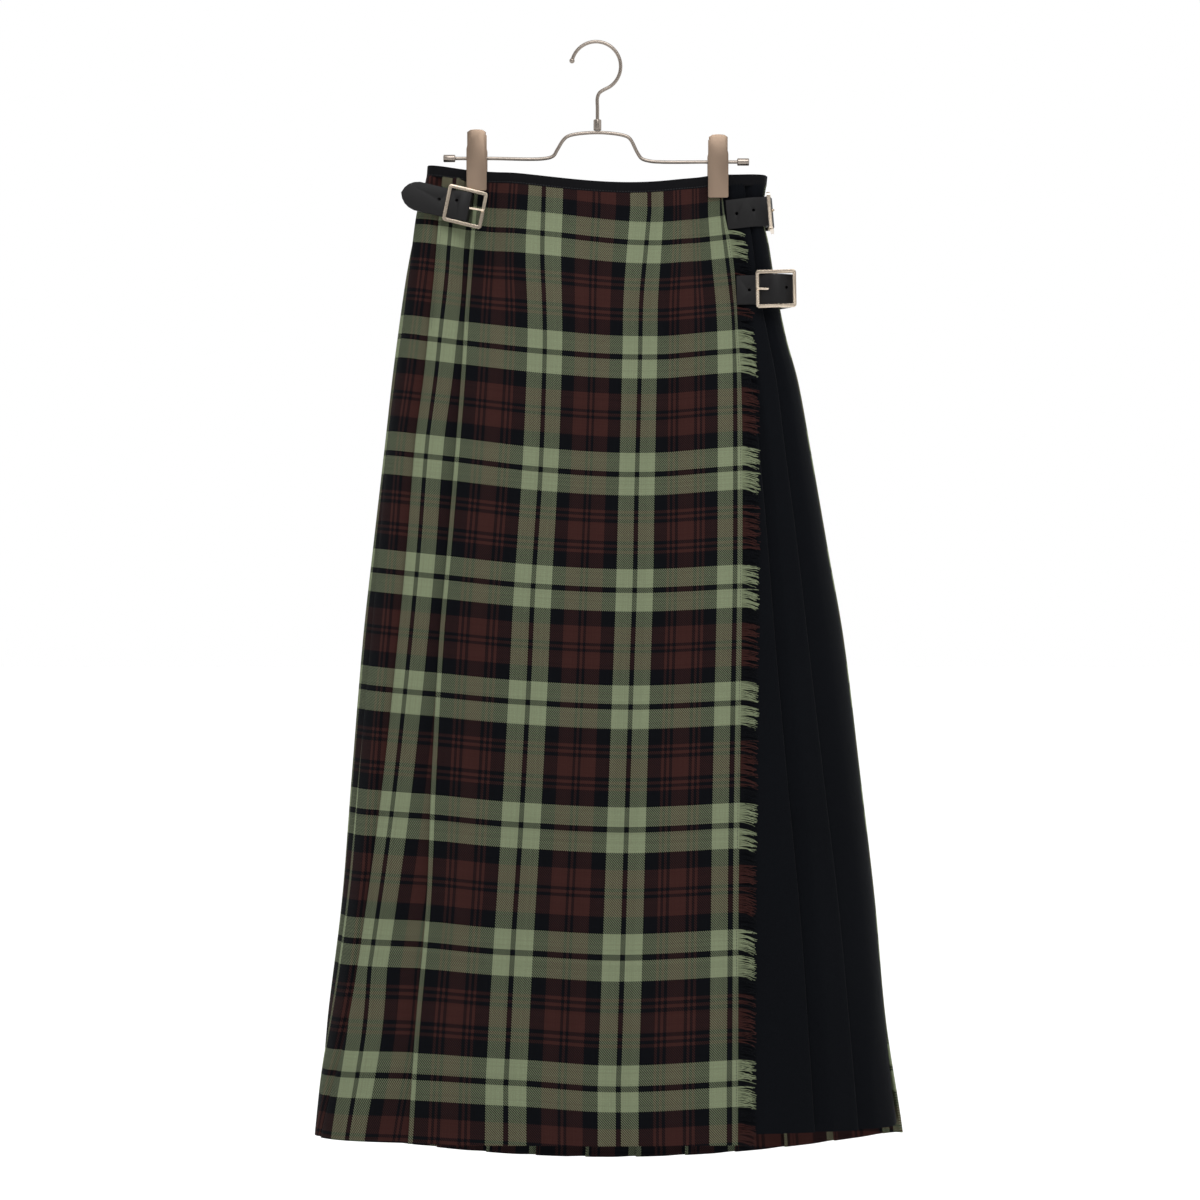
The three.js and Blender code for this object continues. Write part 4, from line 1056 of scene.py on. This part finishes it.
def grown(base, graph, values, name):
    """The plain mesh that a tree makes of a base object, which is then removed."""
    modifier = base.modifiers.new("grow", "NODES")
    modifier.node_group = graph.tree
    for key, value in values.items():
        modifier[graph.ids[key]] = value
    view = bpy.context.evaluated_depsgraph_get()
    mesh = bpy.data.meshes.new_from_object(base.evaluated_get(view), depsgraph=view)
    mesh.name = name
    bpy.data.objects.remove(base)
    mesh.shade_smooth()
    return link(bpy.data.objects.new(name, mesh))


def strand_graph():
    graph = Graph("loose threads")
    for name in ("Reach", "Radius", "Stray", "Droop"):
        graph.socket(name, "NodeSocketFloat")
    graph.socket("Finish", "NodeSocketMaterial")
    named = "GeometryNodeInputNamedAttribute"
    out = graph.node(named, {"Name": "out"}, data_type="FLOAT_VECTOR").outputs[0]
    turned = graph.node("FunctionNodeAlignRotationToVector", {"Vector": out}, axis="X").outputs[0]
    length = graph.node("FunctionNodeRandomValue", {
        2: STRAND["shortest"], 3: STRAND["longest"], "Seed": STRAND_SEED}).outputs[1]
    scale = graph.number("MULTIPLY", graph.given("Reach"), length)
    straight = graph.node("GeometryNodeCurvePrimitiveLine", {"End": (1, 0, 0)}).outputs[0]
    pieces = graph.node("GeometryNodeResampleCurve",
                        {"Curve": straight, "Count": STRAND["points"]}).outputs[0]
    strands = graph.node("GeometryNodeInstanceOnPoints",
                         {"Points": graph.given("Geometry"), "Instance": pieces,
                          "Rotation": turned, "Scale": scale}).outputs[0]
    real = graph.node("GeometryNodeRealizeInstances", {"Geometry": strands}).outputs[0]
    along = graph.node("GeometryNodeSplineParameter").outputs["Factor"]
    lean = graph.node(named, {"Name": "lean"}, data_type="FLOAT").outputs[0]
    position = graph.node("GeometryNodeInputPosition").outputs[0]
    wild = graph.node("ShaderNodeTexNoise", {"Vector": position, "Scale": CURL["scale"],
                                             "Detail": 1.0}).outputs["Color"]
    centred = graph.node("ShaderNodeVectorMath", {0: wild, 1: (0.5, 0.5, 0.5)},
                         operation="SUBTRACT").outputs[0]
    strayed = graph.node("ShaderNodeVectorMath",
                         {0: centred, "Scale": graph.number("MULTIPLY", graph.given("Stray"), along)},
                         operation="SCALE").outputs[0]
    wisp = graph.number("MULTIPLY", lean, graph.number("POWER", along, CURL["wisp"]))
    fallen = graph.number("MULTIPLY", graph.given("Droop"), graph.number("POWER", along, CURL["droop"]))
    lowered = graph.node("ShaderNodeCombineXYZ", {2: graph.number("SUBTRACT", wisp, fallen)}).outputs[0]
    moved = graph.node("ShaderNodeVectorMath", {0: strayed, 1: lowered}, operation="ADD").outputs[0]
    shaped = graph.node("GeometryNodeSetPosition", {"Geometry": real, "Offset": moved}).outputs[0]
    section = graph.node("GeometryNodeCurvePrimitiveCircle",
                         {"Resolution": STRAND["sides"], "Radius": graph.given("Radius")}).outputs[0]
    solid = graph.node("GeometryNodeCurveToMesh",
                       {"Curve": shaped, "Profile Curve": section, "Fill Caps": True}).outputs[0]
    graph.end(solid)
    return graph


def stitch_graph():
    graph = Graph("running stitch")
    for name in ("Pitch", "Length", "Radius"):
        graph.socket(name, "NodeSocketFloat")
    graph.socket("Finish", "NodeSocketMaterial")
    path = graph.node("GeometryNodeMeshToCurve", {"Mesh": graph.given("Geometry")}).outputs[0]
    spots = graph.node("GeometryNodeResampleCurve",
                       {"Curve": path, "Length": graph.given("Pitch")}, mode="LENGTH").outputs[0]
    tangent = graph.node("GeometryNodeInputTangent").outputs[0]
    turned = graph.node("FunctionNodeAlignRotationToVector", {"Vector": tangent}, axis="Z").outputs[0]
    bead = graph.node("GeometryNodeMeshIcoSphere", {"Radius": 1.0, "Subdivisions": 2}).outputs[0]
    size = graph.node("ShaderNodeCombineXYZ", {
        0: graph.given("Radius"), 1: graph.given("Radius"),
        2: graph.number("DIVIDE", graph.given("Length"), 2.0)}).outputs[0]
    sewn = graph.node("GeometryNodeInstanceOnPoints",
                      {"Points": spots, "Instance": bead, "Rotation": turned, "Scale": size}).outputs[0]
    graph.end(sewn)
    return graph


def base_mesh(name, places, edges=(), attributes=()):
    mesh = bpy.data.meshes.new(name)
    mesh.from_pydata((np.asarray(places) * MM).tolist(), list(edges), [])
    for key, kind, values in attributes:
        layer = mesh.attributes.new(key, kind, "POINT")
        field = "vector" if kind == "FLOAT_VECTOR" else "value"
        layer.data.foreach_set(field, np.asarray(values, dtype=np.float32).ravel())
    return link(bpy.data.objects.new(name, mesh))


def on_cloth(drops, s, depth):
    drops, s = np.asarray(drops, float), np.asarray(s, float)
    plan = place(drops, s, np.full_like(drops, depth))
    return np.column_stack([plan, WAIST_Z - drops])


def wisps(drops, dice):
    """How far each loose thread leans, in metres upwards, to the middle of its wisp."""
    edges = [drops[0]]
    while edges[-1] < drops[-1]:
        edges.append(edges[-1] + dice.uniform(WISP["least"], WISP["most"]))
    group = np.searchsorted(edges, drops, side="right") - 1
    middles = np.array(edges) + WISP["most"] / 2
    lean = (drops - middles[group]) * WISP["draw"] + dice.normal(0, WISP["stray"], len(drops))
    return lean * MM


def add_fringe():
    graph = strand_graph()
    dice = np.random.default_rng(WISP_SEED)
    made = []
    for name, top, bottom in FRINGES:
        drops = np.arange(top, bottom, STRAND["spacing"])
        edge = apron_edge(drops)
        roots = on_cloth(drops, edge + STRAND["root"], 0)
        tips = on_cloth(drops, edge - STRAND["reach"], -STRAND["rise"])
        out = tips - roots
        out /= np.linalg.norm(out, axis=1, keepdims=True)
        weft = weft_threads(drops, np.full_like(drops, float(EDGE_THREAD)))
        base = base_mesh(name + "_roots", roots, attributes=(
            ("out", "FLOAT_VECTOR", out), ("weft", "FLOAT", weft), ("lean", "FLOAT", wisps(drops, dice))))
        values = {"Reach": STRAND["reach"] * MM, "Radius": STRAND["radius"] * MM,
                  "Stray": STRAND["stray"] * MM, "Droop": STRAND["droop"] * MM, "Finish": FRINGE}
        threads = grown(base, graph, values, name + "_threads")
        made.append(finish(threads, "fringe_wool", name))
    return made


THREADS = add_fringe()
STITCHES = stitch_graph()


def stitch_line(name, places, finish_with, pitch=2.6, length=1.9, radius=0.22):
    edges = [(i, i + 1) for i in range(len(places) - 1)]
    base = base_mesh(name + "_path", places, edges)
    values = {"Pitch": pitch * MM, "Length": length * MM, "Radius": radius * MM, "Finish": finish_with}
    made = grown(base, STITCHES, values, name)
    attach(made, "root")
    return made


STITCH_CLEAR = 0.05
CLOTH_FACE = -CLOTH / 2 - STITCH_CLEAR
STITCHED_DROP = 144
STAY = {"from": 14, "to": 880, "step": 4.0, "in": 1.6}
PLEAT_STITCH = {"starts": (62, 40), "step": 3.0, "in": 2.2, "pitch": 2.2, "length": 1.6, "radius": 0.18}
BAND_STITCH = {"points": 160, "ends": (0.01, 0.99), "up": 1.6}


def add_stitches():
    """The stay stitch beside the fringe, the stitched part of the two front folds, and the
    stitches along the waist binding."""
    drops = np.arange(STAY["from"], STAY["to"], STAY["step"])
    stay = stitch_line("stay_stitch", on_cloth(drops, apron_edge(drops) + STAY["in"], CLOTH_FACE),
                       DARK_THREAD)
    pleats = []
    for k, start in enumerate(PLEAT_STITCH["starts"]):
        drops = np.arange(start, STITCHED_DROP, PLEAT_STITCH["step"])
        places = on_cloth(drops, tartan_fold(k)(drops) - PLEAT_STITCH["in"], CLOTH_FACE)
        pleats.append(stitch_line(f"pleat_stitch_{k}", places, DARK_THREAD, PLEAT_STITCH["pitch"],
                                  PLEAT_STITCH["length"], PLEAT_STITCH["radius"]))
    tops = []
    for name, start, end, depth in (("apron", apron_edge, first_fold, -BAND_WALL / 2 - STITCH_CLEAR),
                                    ("pleats", shifted(first_fold, FOLD_ROOM), tartan_fold(PLEATS),
                                     LAYER - BAND_OVER_PLEATS / 2 - STITCH_CLEAR)):
        spread = [between(start, end, t)
                  for t in np.linspace(*BAND_STITCH["ends"], BAND_STITCH["points"])]
        places = []
        for at in spread:
            spot = place(np.zeros(1), np.array([float(at(0.0))]), np.zeros(1))[0]
            drop = WAIST_Z - band_top(spot[0], spot[1] > 0) + BAND_HEIGHT - BAND_STITCH["up"]
            places.append(on_cloth([drop], [float(at(drop))], depth)[0])
        tops.append(stitch_line(f"band_stitch_{name}", np.array(places), BLACK_THREAD_FINISH))
    return stay, pleats, tops


STAY_STITCH, PLEAT_STITCHES, BAND_STITCHES = add_stitches()


# Leather and metal: bevelled copies of the CAD nodes

def rounded_copy(node, width, material, slot, segments=3, angle=35, holes=()):
    """A merged copy of a CAD node with bored holes and rounded edges, which stands for it."""
    source = frame["nodes"][node]
    mesh = source.data.copy()
    work = bmesh.new()
    work.from_mesh(mesh)
    bmesh.ops.remove_doubles(work, verts=work.verts, dist=0.00002)
    bmesh.ops.dissolve_limit(work, angle_limit=math.radians(1), verts=work.verts, edges=work.edges)
    work.to_mesh(mesh)
    work.free()
    mesh.materials.clear()
    mesh.materials.append(material)
    made = link(bpy.data.objects.new(node + "_finished", mesh))
    for centre, normal in holes:
        bore(made, centre, normal)
    bevel = made.modifiers.new("round", "BEVEL")
    bevel.width = width * MM
    bevel.segments = segments
    bevel.limit_method = "ANGLE"
    bevel.angle_limit = math.radians(angle)
    bevel.use_clamp_overlap = True
    bake_modifiers(made)
    made.data.shade_smooth()
    made.data.set_sharp_from_angle(angle=math.radians(40))
    return finish(made, slot, node)


def bake_modifiers(obj):
    view = bpy.context.evaluated_depsgraph_get()
    mesh = bpy.data.meshes.new_from_object(obj.evaluated_get(view), depsgraph=view)
    obj.modifiers.clear()
    obj.data = mesh


HOLE = {"radius": 1.5, "depth": 8}


def bore(obj, centre, normal):
    """Cuts a round hole through a strap at a place on its face."""
    work = bmesh.new()
    bmesh.ops.create_cone(work, cap_ends=True, segments=20, radius1=HOLE["radius"] * MM,
                          radius2=HOLE["radius"] * MM, depth=HOLE["depth"] * MM)
    turned = normal.to_track_quat("Z", "Y").to_matrix().to_4x4()
    bmesh.ops.transform(work, matrix=turned, verts=work.verts)
    bmesh.ops.translate(work, vec=centre, verts=work.verts)
    mesh = bpy.data.meshes.new("hole")
    work.to_mesh(mesh)
    work.free()
    tool = link(bpy.data.objects.new("hole", mesh))
    cutter = obj.modifiers.new("hole", "BOOLEAN")
    cutter.operation = "DIFFERENCE"
    cutter.solver = "EXACT"
    cutter.object = tool
    bake_modifiers(obj)
    bpy.data.objects.remove(tool)


def hole_places(node, spots):
    """Where holes stand on the front of a strap, from their x and z."""
    mesh = frame["nodes"][node].data
    tree = BVHTree.FromPolygons([v.co for v in mesh.vertices], [p.vertices for p in mesh.polygons])
    found = []
    for x, z in spots:
        hit, normal, _, _ = tree.ray_cast(Vector((x * MM, -0.3, z * MM)), Vector((0, 1, 0)))
        if hit is not None:
            found.append((hit, normal))
    return found


STRAP_HOLES = {"left": ((-145.5, -147.5), (-129.5, -148.5)), "waist": ((129.5, -159.5), (145, -156.5)),
               "hip": ((140.5, -231.6), (174.5, -229.8))}


def add_fastenings():
    for name, spots in STRAP_HOLES.items():
        rounded_copy(f"strap_{name}", 0.45, LEATHER, "black_leather",
                     holes=hole_places(f"strap_{name}", spots))
        rounded_copy(f"tab_{name}", 0.35, LEATHER, "black_leather", segments=2)
        rounded_copy(f"buckle_{name}", 0.85, NICKEL, "buckle_nickel", segments=4)
        rounded_copy(f"prong_{name}", 0.3, NICKEL, "buckle_nickel", segments=2)


add_fastenings()

# Hanger
WIRE = 3.3
HOOK = {"radius": 22.9, "x": -0.9, "tip": 167, "end": -58, "ball": 5}
SHANK_X = 0.4
SHANK_END_Z = -71.2
BAR_Z = (-107.0, -110.3)
BAR_X = (-142.8, 141.4)
CAP_LENGTH = 11
CROWN_Z = -82.9


def through(points, steps=12):
    """A smooth line through points, with the same speed rule at each as the part's wire."""
    points = [np.array(p, float) for p in points]
    points = [2 * points[0] - points[1], *points, 2 * points[-1] - points[-2]]
    found = []
    for p0, p1, p2, p3 in zip(points, points[1:], points[2:], points[3:]):
        knots = [0]
        for a, b in ((p0, p1), (p1, p2), (p2, p3)):
            knots.append(knots[-1] + np.linalg.norm(b - a) ** 0.5)
        k0, k1, k2, k3 = knots
        for t in np.linspace(k1, k2, steps, endpoint=False):
            a1 = (k1 - t) / (k1 - k0) * p0 + (t - k0) / (k1 - k0) * p1
            a2 = (k2 - t) / (k2 - k1) * p1 + (t - k1) / (k2 - k1) * p2
            a3 = (k3 - t) / (k3 - k2) * p2 + (t - k2) / (k3 - k2) * p3
            b1 = (k2 - t) / (k2 - k0) * a1 + (t - k0) / (k2 - k0) * a2
            b2 = (k3 - t) / (k3 - k1) * a2 + (t - k1) / (k3 - k1) * a3
            found.append((k2 - t) / (k2 - k1) * b1 + (t - k1) / (k2 - k1) * b2)
    return np.array(found + [points[-2]])


def tube(name, path, radius, material, sides=16):
    """A round wire along a path, closed at its ends."""
    tangents = np.gradient(path, axis=0)
    tangents /= np.linalg.norm(tangents, axis=1, keepdims=True)
    side = np.array([0.0, 1.0, 0.0]) - tangents[0] * tangents[0][1]
    places = []
    for point, tangent in zip(path, tangents):
        side = side - tangent * np.dot(side, tangent)
        side /= np.linalg.norm(side)
        other = np.cross(tangent, side)
        for k in range(sides):
            angle = 2 * math.pi * k / sides
            places.append(point + radius * (math.cos(angle) * side + math.sin(angle) * other))
    faces = []
    for i in range(len(path) - 1):
        for k in range(sides):
            j = (k + 1) % sides
            faces.append((i * sides + k, i * sides + j, (i + 1) * sides + j, (i + 1) * sides + k))
    places = np.array(places)
    made = mesh_object(name, places, outward(places, np.array(faces)), material)
    close_ends(made)
    return made


def joined(first, *others):
    """The first object, with the meshes of the others added to its own."""
    work = bmesh.new()
    for obj in (first, *others):
        work.from_mesh(obj.data)
    work.to_mesh(first.data)
    work.free()
    for obj in others:
        bpy.data.objects.remove(obj)
    first.data.shade_smooth()
    first.data.set_sharp_from_angle(angle=math.radians(50))
    return first


def ball(name, centre, radius, material):
    work = bmesh.new()
    bmesh.ops.create_uvsphere(work, u_segments=24, v_segments=14, radius=radius * MM)
    bmesh.ops.translate(work, vec=Vector(centre) * MM, verts=work.verts)
    mesh = bpy.data.meshes.new(name)
    work.to_mesh(mesh)
    work.free()
    mesh.materials.append(material)
    return link(bpy.data.objects.new(name, mesh))


def hook_path():
    centre_z = WIRE / 2 - HOOK["radius"]
    angles = np.radians(np.arange(HOOK["tip"], HOOK["end"] - 1, -5))
    ring = [(HOOK["x"] + HOOK["radius"] * math.cos(a), 0, centre_z + HOOK["radius"] * math.sin(a))
            for a in angles]
    shank = [(SHANK_X + 2.2, 0, -45.6), (SHANK_X, 0, -50.5), (SHANK_X, 0, -60), (SHANK_X, 0, SHANK_END_Z)]
    return ring + shank


def bar_path():
    left, right = BAR_Z
    inner = (BAR_X[0] + CAP_LENGTH / 2, BAR_X[1] - CAP_LENGTH / 2)
    flat = [(inner[0], left), (-100, left), (-48, left), (-40.5, left + 2.5), (-37, left + 8),
            (-31, -89.5), (-26, -85.9), (SHANK_X, CROWN_Z), (25, -85.6), (30.5, -88.5),
            (37.4, -101.3), (41.5, -107), (49.3, right + 0.8), (60, right), (100, right), (inner[1], right)]
    return [(x, 0, z) for x, z in flat]


COIL = {"radius": 3.5, "wire": 0.55, "turns": 5, "length": 7.4, "leg": 16, "lean": 0.6}


def spring(side, x, z):
    """The clip's spring: a coil round the bar with a leg towards each jaw."""
    turns = np.linspace(0, COIL["turns"] * 2 * math.pi, COIL["turns"] * 20)
    coil = [(x - COIL["length"] / 2 + COIL["length"] * a / turns[-1],
             COIL["radius"] * math.cos(a), z + COIL["radius"] * math.sin(a)) for a in turns]
    first, last = ((x0, y0 + COIL["lean"], z0 - COIL["leg"]) for x0, y0, z0 in (coil[0], coil[-1]))
    path = np.array([first, *coil, last])
    made = tube(f"clip_{side}_coil", path, COIL["wire"], HANGER, sides=8)
    return finish(made, "hanger_wire", f"clip_{side}_spring")


def add_hanger():
    hook = tube("hook_wire", through(hook_path(), 4), WIRE / 2, HANGER, 20)
    tip = hook_path()[0]
    finish(joined(hook, ball("hook_tip", tip, HOOK["ball"] / 2, HANGER)), "hanger_wire", "hanger_hook")
    bar = tube("bar_wire", through(bar_path(), 14), WIRE / 2, HANGER, 20)
    finish(bar, "hanger_wire", "hanger_bar")
    rounded_copy("hanger_ferrule", 0.9, HANGER, "hanger_wire")
    for side, x, z in (("left", CLIP_X[0], BAR_Z[0]), ("right", CLIP_X[1], BAR_Z[1])):
        rounded_copy(f"hanger_cap_{side}", 0.9, HANGER, "hanger_wire")
        for half in ("front", "back"):
            rounded_copy(f"clip_{side}_{half}_jaw", 0.4, CLIP_PLATE, "clip_plate")
            rounded_copy(f"clip_{side}_{half}_pad", 0.35, RUBBER, "clip_pad", segments=2)
        spring(side, x, z)


add_hanger()


def declare_sheets():
    for name, obj in PIECES.items():
        with_pieces = [BANDS[name]] if name in BANDS else []
        if name == "outer_apron":
            with_pieces += [*THREADS, STAY_STITCH]


declare_sheets()

# Floor, light and air
FLOOR_Z = -1300
FLOOR_REACH = 30000
DIM_AIR = 0.25                  # the room behind the camera, against the white in front


def add_floor():
    made, tree, shader = new_material("pale_floor", {"Roughness": 0.85, "Emission Strength": 0.35,
                                                     "Emission Color": (1, 1, 1, 1)})
    spot = add_node(tree, "ShaderNodeTexCoord").outputs["Object"]
    base = shade(tree, (0.93, 0.93, 0.925, 1), noise(tree, spot, 3, 2.0), 0.99, 1.01)
    tree.links.new(base, shader.inputs["Base Color"])
    corners = [(-FLOOR_REACH, -FLOOR_REACH, FLOOR_Z), (FLOOR_REACH, -FLOOR_REACH, FLOOR_Z),
               (FLOOR_REACH, FLOOR_REACH, FLOOR_Z), (-FLOOR_REACH, FLOOR_REACH, FLOOR_Z)]
    mesh_object("floor", corners, [(0, 1, 2, 3)], made)


# Name, place and aim in metres, size and power
LAMPS = (
    ("key", (0.15, -1.3, 1.15), (0, 0, -0.2), 1.1, 22),
    ("side", (2.2, -0.9, 0.4), (0, 0, -0.5), 1.1, 4),
    ("front", (-0.25, -3.4, 0.1), (0, 0, -0.3), 0.7, 2),
)
AIR_FROM, AIR_TO = -0.95, 0.4   # directions between which the air goes from dim to white


def area_light(name, place_m, aim_m, size, power):
    data = bpy.data.lights.new(name, "AREA")
    data.size = size
    data.energy = power
    lamp = link(bpy.data.objects.new(name, data))
    lamp.location = place_m
    lamp.rotation_euler = (Vector(aim_m) - Vector(place_m)).to_track_quat("-Z", "Y").to_euler()


def add_light():
    world = bpy.data.worlds.new("pale_air")
    world.use_nodes = True
    tree = world.node_tree
    background = tree.nodes["Background"]
    direction = add_node(tree, "ShaderNodeTexCoord").outputs["Generated"]
    ahead = add_node(tree, "ShaderNodeSeparateXYZ", {0: direction}).outputs[1]
    white = add_node(tree, "ShaderNodeMapRange",
                     {"Value": ahead, "From Min": AIR_FROM, "From Max": AIR_TO, "To Min": DIM_AIR},
                     interpolation_type="SMOOTHSTEP")
    tree.links.new(white.outputs[0], background.inputs["Color"])
    bpy.context.scene.world = world
    for lamp in LAMPS:
        area_light(*lamp)
    bpy.context.scene.view_settings.view_transform = "Standard"


add_floor()
add_light()
